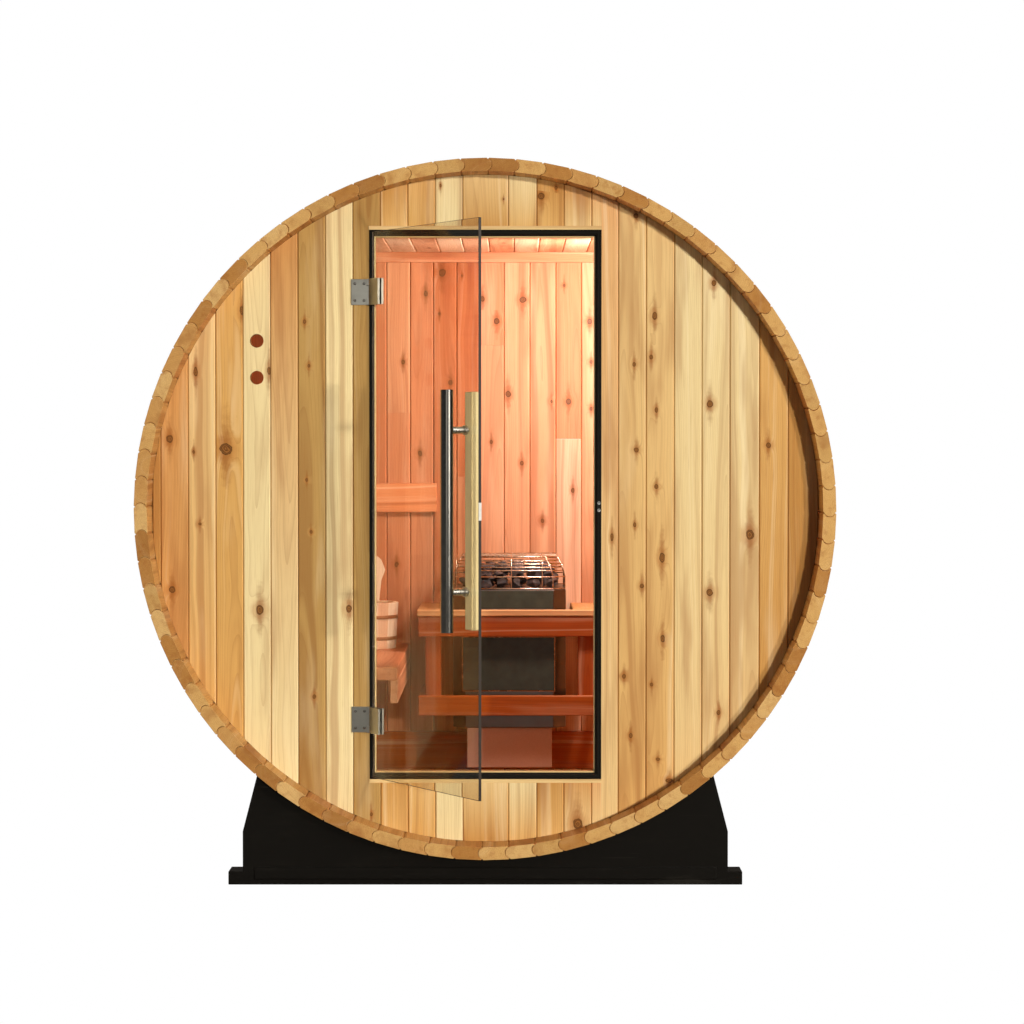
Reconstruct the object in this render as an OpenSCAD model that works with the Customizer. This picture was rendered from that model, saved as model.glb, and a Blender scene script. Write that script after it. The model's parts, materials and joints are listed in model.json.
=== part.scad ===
// Barrel sauna on two cradles, with a glass door standing ajar.
// Origin: on the ground, under the middle of the front cradle.
// +X is to the right seen from the front, +Y is towards the back, +Z is up.

/* [Barrel] */
// Diameter over the outside of the staves
barrel_d = 1829; // [1500:1:2300]
// Length of the staves
barrel_len = 1219; // [1000:1:2400]
// Thickness of a stave
stave_t = 35; // [25:1:45]
// Groups of eight staves round the barrel
groups = 10; // [10]
// How far the end walls stand back from the stave ends
end_recess = 105; // [60:1:160]
// Thickness of the end wall boards
wall_t = 35; // [25:1:50]
// Space round the end walls inside the staves
wall_fit = 0.3; // [0.1:0.1:1]

/* [Cradles] */
// Thickness of a cradle along the barrel
cradle_depth = 90; // [60:1:140]
// How far a cradle stands back from the stave ends
cradle_inset = 60; // [30:1:120]
// Height of the cradle under the lowest stave
cradle_under = 73; // [50:1:120]
// Width of the cradle between its upright sides
cradle_w = 1276; // [1000:1:1500]
// Height at which the sides begin to slope
cradle_side_h = 140; // [110:1:170]
// Width of the cradle at its two tips
cradle_tip_w = 1196; // [900:1:1240]
// How far each foot stands out past the side
foot_out = 38; // [20:1:60]
// Height of a foot
foot_h = 35; // [20:1:50]
// Proud base band: lower edge
band_low = 15; // [10:1:20]
// Proud base band: height
band_h = 31; // [20:1:40]
// Proud base band: width
band_w = 1214; // [900:1:1260]
// Proud base band: how far it stands out
band_proud = 4; // [2:1:8]

/* [Doorway] */
// Width of the hole in the wall
door_hole_w = 612; // [560:1:720]
// Height of the hole in the wall
door_hole_h = 1449; // [1300:1:1480]
// Bottom of the hole below the middle of the barrel
door_hole_drop = 714; // [650:1:740]
// Width of the seal
seal_w = 13; // [8:1:18]
// How far the seal stands out from the wall
seal_proud = 3; // [1:1:5]
// Depth of the seal in the wall
seal_depth = 10; // [6:1:14]
// Thickness of the lining boards
lining_t = 20; // [15:1:30]
// How far the lining stands out inside the cabin
lining_inside = 5; // [0:1:10]

/* [Glass door] */
// Thickness of the glass
glass_t = 8; // [6:1:12]
// Angle at which the door stands open at rest
door_open = 61; // [0:1:90]
// Space between the closed glass and the seal
door_gap = 6; // [5:1:10]
// Reveal of the glass at its free side
side_reveal = 4; // [2:1:8]
// Reveal of the glass at its top and bottom
end_reveal = 7.5; // [4:0.5:12]
// Radius of the pin
pin_r = 4; // [3:0.5:5]
// Running clearance round the pin
pin_fit = 0.05; // [0.02:0.01:0.1]
// Radius of a knuckle
knuckle_r = 6.5; // [6:0.5:8]
// From the edge of the hole to the pin
pin_inset = 6; // [3:1:12]
// From the pin to the edge of the glass
pin_to_glass = 14; // [12:1:20]

/* [Hinges] */
// Height of a hinge
hinge_h = 68; // [60:1:100]
// Length of the leaf on the wall
leaf_w = 47; // [35:1:60]
// Thickness of the leaf
leaf_t = 5; // [4:1:8]
// Length of the clamp on the glass
clamp_w = 45; // [35:1:60]
// Thickness of each clamp plate
clamp_t = 6; // [4:1:8]
// Width of the clamp's cheek before the edge of the glass
cheek_w = 4; // [3:1:6]
// How much thicker the clamp's arm is than the slot for the glass, on each side
arm_over = 1; // [0.5:0.5:2]
// Space between the arm of a wall leaf and the seal
leaf_air = 1; // [0.5:0.5:2]
// Space between a clamp plate and the glass
glass_seat = 0.2; // [0.1:0.1:0.5]
// Height of the upper and of the lower knuckle
knuckle_h = 17; // [12:1:20]
// Space between two knuckles
knuckle_gap = 0.5; // [0.3:0.1:1]
// Upper hinge above the middle of the barrel
hinge_up = 571; // [450:1:600]
// Lower hinge below the middle of the barrel
hinge_down = 556; // [450:1:600]

/* [Handle] */
// Diameter of the steel tube
tube_d = 32; // [25:1:40]
// Wall of the steel tube
tube_wall = 2; // [1.5:0.5:3]
// Length of the steel tube
tube_len = 600; // [400:1:800]
// From the free edge of the glass to the tube
handle_from_edge = 62; // [50:1:100]
// From the glass to the middle of the tube
handle_reach = 55; // [40:1:80]
// Distance between the two standoffs
standoff_apart = 400; // [300:1:500]
// Diameter of a standoff
standoff_d = 18; // [14:1:22]
// Diameter of the collar on the glass
collar_d = 24; // [22:1:30]
// Thickness of the collar
collar_t = 4; // [3:1:6]
// Diameter of the bolt through the glass
handle_bolt_d = 8; // [6:1:10]
// Width of the wooden bar inside
bar_w = 42; // [30:1:60]
// Thickness of the wooden bar
bar_t = 22; // [16:1:30]
// Length of the wooden bar
bar_len = 590; // [400:1:700]
// Middle of the handle above the middle of the barrel
handle_up = 6; // [-100:1:100]

/* [Catch] */
// Height of the strike plate on the glass edge
strike_h = 44; // [30:1:60]
// Thickness of the strike plate
strike_t = 1.5; // [1:0.5:3]
// Width of the catch plate
catch_w = 10; // [8:1:12]
// Height of the catch plate
catch_h = 34; // [28:1:45]
// Thickness of the catch plate
catch_t = 0.6; // [0.4:0.1:1]
// Radius of a catch stud
stud_r = 4.4; // [3:0.1:4.8]
// Distance between the two studs
stud_apart = 19; // [14:1:22]
// How far a stud stands out of the catch plate
stud_proud = 0.4; // [0.2:0.1:1]

/* [Vents] */
// Radius of a vent
vent_r = 18; // [10:1:30]
// From the middle of the barrel to the vents, to the left
vent_left = 602; // [500:1:680]
// Upper vent above the middle of the barrel
vent_up = 443; // [300:1:500]
// Distance between the two vents
vent_apart = 97; // [70:1:150]

/* [Cabin] */
// Underside of the ceiling above the middle of the barrel
ceiling_up = 737; // [736:1:790]
// Thickness of the ceiling boards
ceiling_t = 14; // [10:1:20]
// How much narrower the ceiling is than the barrel there
ceiling_fit = 2; // [2:1:10]
// Height of the ledger below the ceiling
ledger_h = 30; // [20:1:40]
// Thickness of the ledger
ledger_t = 18; // [12:1:25]
// How much shorter the ledger is than the barrel is wide there
ledger_fit = 20; // [4:1:40]
// Top of the skirting below the middle of the barrel
skirting_down = 683; // [650:1:700]
// Height of the skirting
skirting_h = 110; // [60:1:120]
// Thickness of the skirting
skirting_t = 18; // [12:1:25]
// How much shorter the skirting is than the barrel is wide there
skirting_fit = 4; // [2:1:20]
// Top of the bench below the middle of the barrel
bench_down = 421; // [380:1:480]
// Width of the bench
bench_w = 510; // [400:1:520]
// Inner edge of the bench, to the left of the middle
bench_edge = 230; // [200:1:300]
// Thickness of a bench slat
slat_t = 36; // [25:1:45]
// Number of bench slats
slats = 5; // [3:1:6]
// Gap between two slats
slat_gap = 12; // [8:1:20]
// Height of the fascia and the cleats
cleat_h = 60; // [40:1:90]
// Thickness of the fascia and the cleats
cleat_t = 20; // [18:1:30]
// Space between the bench and the doorway lining
bench_fit = 1; // [1:1:5]
// Middle of the backrest board above the middle of the barrel
backrest_up = 11; // [0:1:60]
// Height of the backrest board
backrest_h = 86; // [60:1:120]
// Thickness of the backrest board
backrest_t = 20; // [15:1:30]
// Right end of the backrest board, to the left of the middle
backrest_right = 150; // [100:1:200]
// Left end of the backrest board, to the left of the middle
backrest_left = 800; // [600:1:820]

/* [Heater] */
// Middle of the heater to the right of the middle
heater_x = 64; // [0:1:100]
// Width of the heater
heater_w = 320; // [280:1:360]
// Depth of the heater
heater_d = 300; // [250:1:320]
// Bevel of its two front corners
heater_bevel = 35; // [20:1:45]
// Air between the front of the heater and the guard rail
heater_air = 15; // [15:1:25]
// Top of the body below the middle of the barrel
heater_top = 245; // [220:1:280]
// Bottom of the body below the middle of the barrel
heater_bottom = 640; // [600:1:660]
// Height of the stone basket
basket_h = 95; // [70:1:120]
// Thickness of a basket wire
wire_d = 5; // [4:1:6]
// Wires one above another in the basket
basket_rings = 4; // [3:1:5]
// Height of the lower box
lower_box_h = 115; // [90:1:120]
// Width of the lower box
lower_box_w = 240; // [200:1:260]
// Depth of the lower box
lower_box_d = 240; // [200:1:260]
// From the front of the heater back to the lower box
lower_box_back = 10; // [0:1:30]
// Width of the wall bracket
bracket_w = 220; // [160:1:260]
// Height of the wall bracket
bracket_h = 300; // [200:1:340]

/* [Guard] */
// Width of the guard over its rails
guard_w = 516; // [460:1:560]
// Depth of the guard from the back wall
guard_d = 379; // [370:1:420]
// Top of the guard below the middle of the barrel
guard_down = 301; // [280:1:320]
// Thickness of the cap board
cap_t = 18; // [14:1:24]
// Width of the cap board over the side rails
cap_w = 82; // [60:1:84]
// Width of the cap board over the front rail
cap_front_w = 30; // [24:1:34]
// How far the cap stands out past the rails
cap_out = 3; // [0:1:6]
// Height of the top rail
top_rail_h = 58; // [50:1:80]
// Height of the lower rail
low_rail_h = 57; // [40:1:80]
// Top of the lower rail below the middle of the barrel
low_rail_down = 545; // [520:1:560]
// Thickness of the rails
rail_t = 20; // [15:1:25]
// Width of the posts
post_w = 45; // [35:1:60]
// Thickness of the posts
post_t = 30; // [20:1:35]

/* [Bucket] */
// Middle of the bucket, to the left of the middle
bucket_left = 345; // [330:1:420]
// From the back wall to the middle of the bucket
bucket_from_back = 190; // [130:1:300]
// Radius of the bucket at its rim
bucket_r = 88; // [70:1:110]
// Radius of the bucket at its foot
bucket_foot_r = 80; // [60:1:100]
// Height of the bucket
bucket_h = 134; // [100:1:180]
// Thickness of a bucket stave
bucket_t = 10; // [8:1:14]
// Height of the ear above the rim
ear_h = 134; // [80:1:160]
// Width of the ear at its neck
ear_neck_w = 56; // [40:1:70]
// Radius of the round top of the ear
ear_r = 46; // [35:1:55]
// How far the ear's neck reaches down between the staves
ear_lap = 20; // [10:1:40]
// How far the ear is let into the staves
ear_set_in = 4; // [2:1:6]
// Thickness of the bottom with the space under it
bucket_floor_h = 20; // [14:1:30]

/* [Hoops] */
// From the stave ends to the middle of a hoop
hoop_from_end = 250; // [200:1:400]
// Width of a hoop
hoop_w = 25; // [15:1:40]
// Thickness of a hoop
hoop_t = 1.2; // [0.8:0.1:2]
// Space between a hoop and the staves
hoop_fit = 0.2; // [0.1:0.1:0.3]
// Angle from straight down to the tension lugs
lug_angle = 20; // [12:1:28]
// How far a lug stands out
lug_out = 24; // [18:1:30]
// Thickness of a lug
lug_t = 6; // [4:1:8]
// Gap between the two lugs
lug_gap = 30; // [20:1:50]
// Radius of the tension bolt
bolt_r = 4; // [3:0.5:5]

/* [Hidden] */

$fn = 96;
eps = 1;                                            // overshoot of a cut past a face
barrel_r = barrel_d / 2;
inner_r = barrel_r - stave_t;
axis_z = cradle_under + barrel_r;                   // middle of the barrel above the ground
rim_y = -(cradle_inset + cradle_depth / 2);         // front ends of the staves
rear_y = rim_y + barrel_len;                        // rear ends of the staves
wall_y = rim_y + end_recess;                        // outer face of the front wall
cabin_y = wall_y + wall_t;                          // inner face of the front wall
back_y = rear_y - end_recess - wall_t;              // inner face of the back wall
cabin_len = back_y - cabin_y;
bench_y = cabin_y + lining_inside + bench_fit;      // front ends of the slats
rear_cradle_y = rear_y + rim_y;
group_angle = 360 / groups;
stave_turn = -0.5;                                  // where the first stave joint lies

hole_bottom = axis_z - door_hole_drop;
hole_top = hole_bottom + door_hole_h;
half_hole = door_hole_w / 2;

pin_x = -half_hole + pin_inset;
glass_mid_y = wall_y - seal_proud - door_gap - glass_t / 2;
glass_w = half_hole - side_reveal - pin_x - pin_to_glass;
glass_h = door_hole_h - 2 * end_reveal;
handle_r = pin_to_glass + glass_w - handle_from_edge;
catch_z = axis_z + handle_up;
clamp_half = glass_t / 2 + glass_seat + clamp_t;

heater_y = back_y - guard_d + rail_t + heater_air;   // front of the heater
heater_back = heater_y + heater_d;

function chord(r, z) = 2 * sqrt(r * r - z * z);

// A flat piece t thick from depth y, its outline drawn in X and Z
module slab(y, t) {
    translate([0, y + t, 0]) rotate([90, 0, 0]) linear_extrude(t) children();
}

// A box w wide about x, from depth y and height z
module block(x, y, z, w, d, h) {
    translate([x - w / 2, y, z]) cube([w, d, h]);
}

// A round bar along the depth
module bar_y(x, y, z, r, len) {
    translate([x, y, z]) rotate([-90, 0, 0]) cylinder(r = r, h = len);
}

// ---- Shell ----------------------------------------------------------------

module stave_group(k) {
    from = stave_turn + k * group_angle;
    reach = 2 * barrel_r;
    color("burlywood") slab(rim_y, barrel_len) translate([0, axis_z]) intersection() {
        difference() {
            circle(barrel_r);
            circle(inner_r);
        }
        polygon([[0, 0],
            [reach * cos(from), reach * sin(from)],
            [reach * cos(from + group_angle), reach * sin(from + group_angle)]]);
    }
}

module wall_disc() {
    translate([0, axis_z]) circle(inner_r - wall_fit);
}

module front_wall(x0, x1, z0, z1) {
    color("wheat") slab(wall_y, wall_t) intersection() {
        wall_disc();
        translate([x0, z0]) square([x1 - x0, z1 - z0]);
    }
}

module front_wall_left() {
    difference() {
        front_wall(-barrel_r, -half_hole, 0, barrel_d * 2);
        for (k = [0, 1])
            bar_y(-vent_left, wall_y - eps, axis_z + vent_up - k * vent_apart, vent_r,
                wall_t + 2 * eps);
    }
}

module back_wall() {
    color("wheat") slab(back_y, wall_t) wall_disc();
}

// ---- Doorway --------------------------------------------------------------

module doorway_ring(y, depth, w) {
    slab(y, depth) difference() {
        translate([-half_hole, hole_bottom]) square([door_hole_w, door_hole_h]);
        translate([-half_hole + w, hole_bottom + w])
            square([door_hole_w - 2 * w, door_hole_h - 2 * w]);
    }
}

module doorway_lining() {
    color("moccasin") doorway_ring(wall_y + seal_depth, wall_t - seal_depth + lining_inside, lining_t);
}

module doorway_seal() {
    color("black") doorway_ring(wall_y - seal_proud, seal_depth + seal_proud, seal_w);
}

module magnet_catch() {
    x = half_hole - seal_w / 2;
    y = wall_y - seal_proud - catch_t;
    color("silver") {
        block(x, y, catch_z - catch_h / 2, catch_w, catch_t, catch_h);
        for (side = [-1, 1])
            bar_y(x, y - stud_proud, catch_z + side * stud_apart / 2, stud_r, stud_proud);
    }
}

// ---- Door -----------------------------------------------------------------

// Draws the door's pieces closed, with the pin at the origin and the glass along +X,
// and turns them open about the pin
module on_door() {
    translate([pin_x, glass_mid_y, 0]) rotate([0, 0, -door_open]) children();
}

module hinge_leaf(z) {
    low = z - hinge_h / 2;
    arm_x = pin_x - pin_inset - knuckle_r;
    arm_y = wall_y - seal_proud - leaf_air;
    color("silver") {
        translate([arm_x - leaf_w + knuckle_r, wall_y - leaf_t, low]) cube([leaf_w, leaf_t, hinge_h]);
        for (at = [low, low + hinge_h - knuckle_h]) {
            translate([arm_x, glass_mid_y - knuckle_r / 2, at])
                cube([pin_x - arm_x, arm_y - glass_mid_y + knuckle_r / 2, knuckle_h]);
            translate([arm_x, arm_y - eps, at]) cube([knuckle_r, wall_y - arm_y + eps, knuckle_h]);
            translate([pin_x, glass_mid_y, at]) cylinder(r = knuckle_r, h = knuckle_h);
        }
        translate([pin_x, glass_mid_y, low]) cylinder(r = pin_r, h = hinge_h);
    }
}

module glass_clamp(z) {
    low = z - hinge_h / 2;
    mid_low = low + knuckle_h + knuckle_gap;
    mid_h = hinge_h - 2 * (knuckle_h + knuckle_gap);
    slot = glass_t / 2 + glass_seat;
    color("silver") on_door() difference() {
        union() {
            for (side = [-1, 1])
                translate([pin_to_glass, side > 0 ? slot : -slot - clamp_t, low])
                    cube([clamp_w, clamp_t, hinge_h]);
            translate([0, 0, mid_low]) cylinder(r = knuckle_r, h = mid_h);
            translate([0, -slot - arm_over, mid_low])
                cube([pin_to_glass - glass_seat, 2 * (slot + arm_over), mid_h]);
            translate([pin_to_glass - cheek_w, -clamp_half, mid_low])
                cube([cheek_w - glass_seat, 2 * clamp_half, mid_h]);
            for (side = [-1, 1])
                translate([pin_to_glass - cheek_w, side > 0 ? slot : -slot - clamp_t, mid_low])
                    cube([cheek_w + eps, clamp_t, mid_h]);
        }
        translate([0, 0, mid_low - eps]) cylinder(r = pin_r + pin_fit, h = mid_h + 2 * eps);
    }
}

module door_glass() {
    color("sienna", 0.5) on_door() difference() {
        translate([pin_to_glass, -glass_t / 2, hole_bottom + end_reveal])
            cube([glass_w, glass_t, glass_h]);
        for (side = [-1, 1])
            bar_y(handle_r, -glass_t, catch_z + side * standoff_apart / 2,
                handle_bolt_d / 2 + 1, 2 * glass_t);
    }
}

module outer_handle() {
    tube_y = -glass_t / 2 - handle_reach;
    color("silver") on_door() {
        translate([handle_r, tube_y, catch_z - tube_len / 2]) difference() {
            cylinder(r = tube_d / 2, h = tube_len);
            translate([0, 0, tube_wall]) cylinder(r = tube_d / 2 - tube_wall, h = tube_len - 2 * tube_wall);
        }
        for (side = [-1, 1]) {
            z = catch_z + side * standoff_apart / 2;
            bar_y(handle_r, tube_y + tube_d / 2 - tube_wall, z, standoff_d / 2,
                handle_reach - tube_d / 2 + tube_wall - collar_t / 2);
            bar_y(handle_r, -glass_t / 2 - collar_t, z, collar_d / 2, collar_t);
            bar_y(handle_r, -glass_t / 2 - collar_t, z, handle_bolt_d / 2, collar_t + glass_t);
        }
    }
}

module inner_handle() {
    color("khaki") on_door()
        translate([handle_r - bar_w / 2, glass_t / 2, catch_z - bar_len / 2])
            cube([bar_w, bar_t, bar_len]);
}

module strike_plate() {
    color("white") on_door()
        translate([pin_to_glass + glass_w, -glass_t / 2, catch_z - strike_h / 2])
            cube([strike_t, glass_t, strike_h]);
}

// ---- Cradles --------------------------------------------------------------

module cradle(y) {
    tip_z = axis_z - chord(barrel_r, cradle_tip_w / 2) / 2;
    half = cradle_w / 2;
    color("#1a1a1a") {
        slab(y - cradle_depth / 2, cradle_depth) difference() {
            polygon([[-half - foot_out, 0], [half + foot_out, 0], [half + foot_out, foot_h],
                [half, foot_h], [half, cradle_side_h], [cradle_tip_w / 2, tip_z],
                [-cradle_tip_w / 2, tip_z], [-half, cradle_side_h], [-half, foot_h],
                [-half - foot_out, foot_h]]);
            translate([0, axis_z]) circle(barrel_r + wall_fit);
        }
        block(0, y - cradle_depth / 2 - band_proud, band_low, band_w,
            cradle_depth + 2 * band_proud, band_h);
    }
}

// ---- Hoops ----------------------------------------------------------------

module hoop(y) {
    ring_r = barrel_r + hoop_fit;
    color("gainsboro") translate([0, y, axis_z]) rotate([0, lug_angle, 0]) {
        rotate([-90, 0, 0]) translate([0, 0, -hoop_w / 2]) difference() {
            cylinder(r = ring_r + hoop_t, h = hoop_w);
            translate([0, 0, -eps]) cylinder(r = ring_r, h = hoop_w + 2 * eps);
            translate([-lug_gap / 2, ring_r - stave_t, -eps])
                cube([lug_gap, 2 * stave_t, hoop_w + 2 * eps]);
        }
        for (side = [-1, 1])
            translate([side * (lug_gap + lug_t) / 2 - lug_t / 2, -hoop_w / 2, -ring_r - lug_out])
                cube([lug_t, hoop_w, lug_out]);
        translate([-lug_gap / 2 - 2 * lug_t, 0, -ring_r - lug_out / 2]) rotate([0, 90, 0])
            cylinder(r = bolt_r, h = lug_gap + 4 * lug_t);
    }
}

// ---- Cabin ----------------------------------------------------------------

module ceiling() {
    w = chord(inner_r, ceiling_up + ceiling_t) - ceiling_fit;
    color("peru") block(0, cabin_y, axis_z + ceiling_up, w, cabin_len, ceiling_t);
}

module back_ledger() {
    w = chord(inner_r, ceiling_up) - ledger_fit;
    color("peru") block(0, back_y - ledger_t, axis_z + ceiling_up - ledger_h, w, ledger_t, ledger_h);
}

module back_skirting() {
    w = chord(inner_r, skirting_down + skirting_h) - skirting_fit;
    color("peru") block(0, back_y - skirting_t, axis_z - skirting_down - skirting_h, w, skirting_t,
        skirting_h);
}

module bench_slats() {
    pitch = (bench_w + slat_gap) / slats;
    color("peru") for (k = [0 : slats - 1])
        translate([-bench_edge - (k + 1) * pitch + slat_gap, bench_y, axis_z - bench_down - slat_t])
            cube([pitch - slat_gap, back_y - bench_y, slat_t]);
}

// A fascia under the inner edge, and a cleat under the ends of the slats on each end wall
module bench_supports() {
    z = axis_z - bench_down - slat_t - cleat_h;
    left = -bench_edge - bench_w + cleat_h;
    color("peru") {
        translate([-bench_edge - cleat_t, bench_y, z]) cube([cleat_t, back_y - bench_y, cleat_h]);
        translate([left, back_y - cleat_t, z]) cube([-bench_edge - cleat_t - left, cleat_t, cleat_h]);
        translate([left, cabin_y, z]) cube([-half_hole - bench_fit - left, cleat_t, cleat_h]);
    }
}

module backrest() {
    color("peru") translate([-backrest_left, back_y - backrest_t, axis_z + backrest_up - backrest_h / 2])
        cube([backrest_left - backrest_right, backrest_t, backrest_h]);
}

// ---- Heater and its guard ---------------------------------------------------

// Plan of the heater, smaller by m all round
module heater_plan(m) {
    half = heater_w / 2 - m;
    b = heater_bevel;
    polygon([[-half, heater_d - m], [-half, m + b], [-half + b, m], [half - b, m], [half, m + b],
        [half, heater_d - m]]);
}

module at_heater(z) {
    translate([heater_x, heater_y, axis_z + z]) children();
}

module heater_body() {
    color("dimgray") at_heater(-heater_bottom) linear_extrude(heater_bottom - heater_top) heater_plan(0);
}

module heater_lower_box() {
    color("rosybrown") block(heater_x, heater_y + lower_box_back,
        axis_z - heater_bottom - lower_box_h, lower_box_w, lower_box_d, lower_box_h);
}

module heater_bracket() {
    z = axis_z - (heater_top + heater_bottom) / 2 - bracket_h / 2;
    color("gray") block(heater_x, heater_back, z, bracket_w, back_y - heater_back, bracket_h);
}

module heater_basket() {
    step = (basket_h - wire_d) / (basket_rings - 1);
    half = heater_w / 2 - wire_d;
    b = heater_bevel;
    corners = [[-half, heater_d - wire_d], [-half, wire_d + b], [-half + b, wire_d],
        [half - b, wire_d], [half, wire_d + b], [half, heater_d - wire_d]];
    color("gray") at_heater(-heater_top) {
        for (k = [0 : basket_rings - 1])
            translate([0, 0, k * step]) linear_extrude(wire_d) difference() {
                heater_plan(wire_d / 2);
                heater_plan(wire_d * 1.5);
            }
        for (c = corners)
            translate([c[0], c[1], 0]) cylinder(r = wire_d / 2, h = basket_h, $fn = 8);
    }
}

module heater_stones() {
    color("#555555") at_heater(-heater_top) linear_extrude(basket_h - 3 * wire_d)
        heater_plan(wire_d * 2);
}

// A U of board in plan, open towards the back wall, its top z below the barrel's middle
module guard_u(z, h, front_w, side_w, out) {
    half = guard_w / 2 + out;
    y = back_y - guard_d - out;
    translate([heater_x, 0, axis_z - z - h]) linear_extrude(h) difference() {
        translate([-half, y]) square([2 * half, back_y - y]);
        translate([-half + side_w, y + front_w]) square([2 * (half - side_w), back_y - y]);
    }
}

module guard_cap() {
    color("peru") guard_u(guard_down, cap_t, cap_front_w, cap_w, cap_out);
}

module guard_rails() {
    color("peru") {
        guard_u(guard_down + cap_t, top_rail_h, rail_t, rail_t, 0);
        guard_u(low_rail_down, low_rail_h, rail_t, rail_t, 0);
    }
}

module guard_posts() {
    z = guard_down + cap_t;
    color("peru") for (side = [-1, 1])
        block(heater_x + side * (guard_w / 2 - rail_t - post_w / 2), back_y - guard_d + rail_t,
            axis_z - low_rail_down - low_rail_h, post_w, post_t, low_rail_down + low_rail_h - z);
}

// ---- Bucket ---------------------------------------------------------------

module bucket() {
    ear_z = bucket_h + ear_h - ear_r;
    color("tan") translate([-bucket_left, back_y - bucket_from_back, axis_z - bench_down]) {
        rotate_extrude() polygon([[0, 0], [bucket_foot_r, 0], [bucket_r, bucket_h],
            [bucket_r - bucket_t, bucket_h], [bucket_foot_r - bucket_t, bucket_floor_h],
            [0, bucket_floor_h]]);
        slab(bucket_r - bucket_t - ear_set_in, bucket_t) {
            translate([-ear_neck_w / 2, bucket_h - ear_lap])
                square([ear_neck_w, ear_z - bucket_h + ear_lap]);
            translate([0, ear_z]) circle(ear_r);
        }
    }
}

for (k = [0 : groups - 1])
    stave_group(k);
front_wall_left();
front_wall(half_hole, barrel_r, 0, barrel_d * 2);  // front_wall_right
front_wall(-half_hole, half_hole, hole_top, barrel_d * 2);  // front_wall_over_door
front_wall(-half_hole, half_hole, 0, hole_bottom);  // front_wall_under_door
back_wall();
doorway_lining();
doorway_seal();
magnet_catch();
hinge_leaf(axis_z + hinge_up);  // hinge_leaf_top
hinge_leaf(axis_z - hinge_down);  // hinge_leaf_bottom
glass_clamp(axis_z + hinge_up);  // glass_clamp_top
glass_clamp(axis_z - hinge_down);  // glass_clamp_bottom
door_glass();
outer_handle();
inner_handle();
strike_plate();
cradle(0);  // cradle_front
cradle(rear_cradle_y);  // cradle_rear
hoop(rim_y + hoop_from_end);  // hoop_front
hoop(rear_y - hoop_from_end);  // hoop_rear
ceiling();
back_ledger();
back_skirting();
bench_slats();
bench_supports();
backrest();
heater_body();
heater_lower_box();
heater_bracket();
heater_basket();
heater_stones();
guard_cap();
guard_rails();
guard_posts();
bucket();
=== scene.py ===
import json
import math
import random

import bmesh
import bpy
from mathutils import Matrix, Vector

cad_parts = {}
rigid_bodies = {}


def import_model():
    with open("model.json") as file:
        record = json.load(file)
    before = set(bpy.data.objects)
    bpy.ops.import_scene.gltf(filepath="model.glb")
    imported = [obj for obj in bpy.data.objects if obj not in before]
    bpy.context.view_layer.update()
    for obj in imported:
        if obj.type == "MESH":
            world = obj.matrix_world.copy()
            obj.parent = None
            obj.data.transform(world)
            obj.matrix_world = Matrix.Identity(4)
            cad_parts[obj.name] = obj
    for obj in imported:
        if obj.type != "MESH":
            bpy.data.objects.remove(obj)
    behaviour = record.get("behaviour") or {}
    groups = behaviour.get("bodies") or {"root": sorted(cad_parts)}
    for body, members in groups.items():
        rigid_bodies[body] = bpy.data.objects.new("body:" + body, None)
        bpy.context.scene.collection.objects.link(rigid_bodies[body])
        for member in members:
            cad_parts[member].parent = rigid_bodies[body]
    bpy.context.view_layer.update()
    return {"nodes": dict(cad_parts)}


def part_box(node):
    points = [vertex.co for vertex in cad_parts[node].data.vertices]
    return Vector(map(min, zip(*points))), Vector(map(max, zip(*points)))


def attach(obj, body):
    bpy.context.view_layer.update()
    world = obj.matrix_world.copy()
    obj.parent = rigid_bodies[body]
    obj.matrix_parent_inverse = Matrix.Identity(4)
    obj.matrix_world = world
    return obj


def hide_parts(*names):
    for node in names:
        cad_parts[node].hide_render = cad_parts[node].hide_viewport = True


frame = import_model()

# ---- The staves ---------------------------------------------------------------
# Eighty red cedar staves, each with a bead milled along one edge and a cove along the
# other, so that they roll together into a barrel. Two steel hoops draw them tight.

STAVE_NODES = [f"stave_group_{k:02d}" for k in range(1, 11)]
STAVE_COUNT = 80
STAVE_THICK = 0.035
FIRST_JOINT = math.radians(-0.5)
BEAD_LIP = 0.003          # plain edge left above and below the bead
BEAD_RISE = 0.0105        # how far the bead stands out
BEAD_STEPS = 10
JOINT_GAP = 0.0012        # between two staves
NICK = 0.0026             # corner taken off the long edges
END_EASE = 0.0009         # arris taken off the sawn ends

stave_boxes = [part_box(node) for node in STAVE_NODES]
barrel_low = Vector(map(min, *[low for low, high in stave_boxes]))
barrel_high = Vector(map(max, *[high for low, high in stave_boxes]))
AXIS_Z = (barrel_low.z + barrel_high.z) / 2
BARREL_R = (barrel_high.z - barrel_low.z) / 2
INNER_R = BARREL_R - STAVE_THICK
RIM_Y, REAR_Y = barrel_low.y, barrel_high.y


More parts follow.
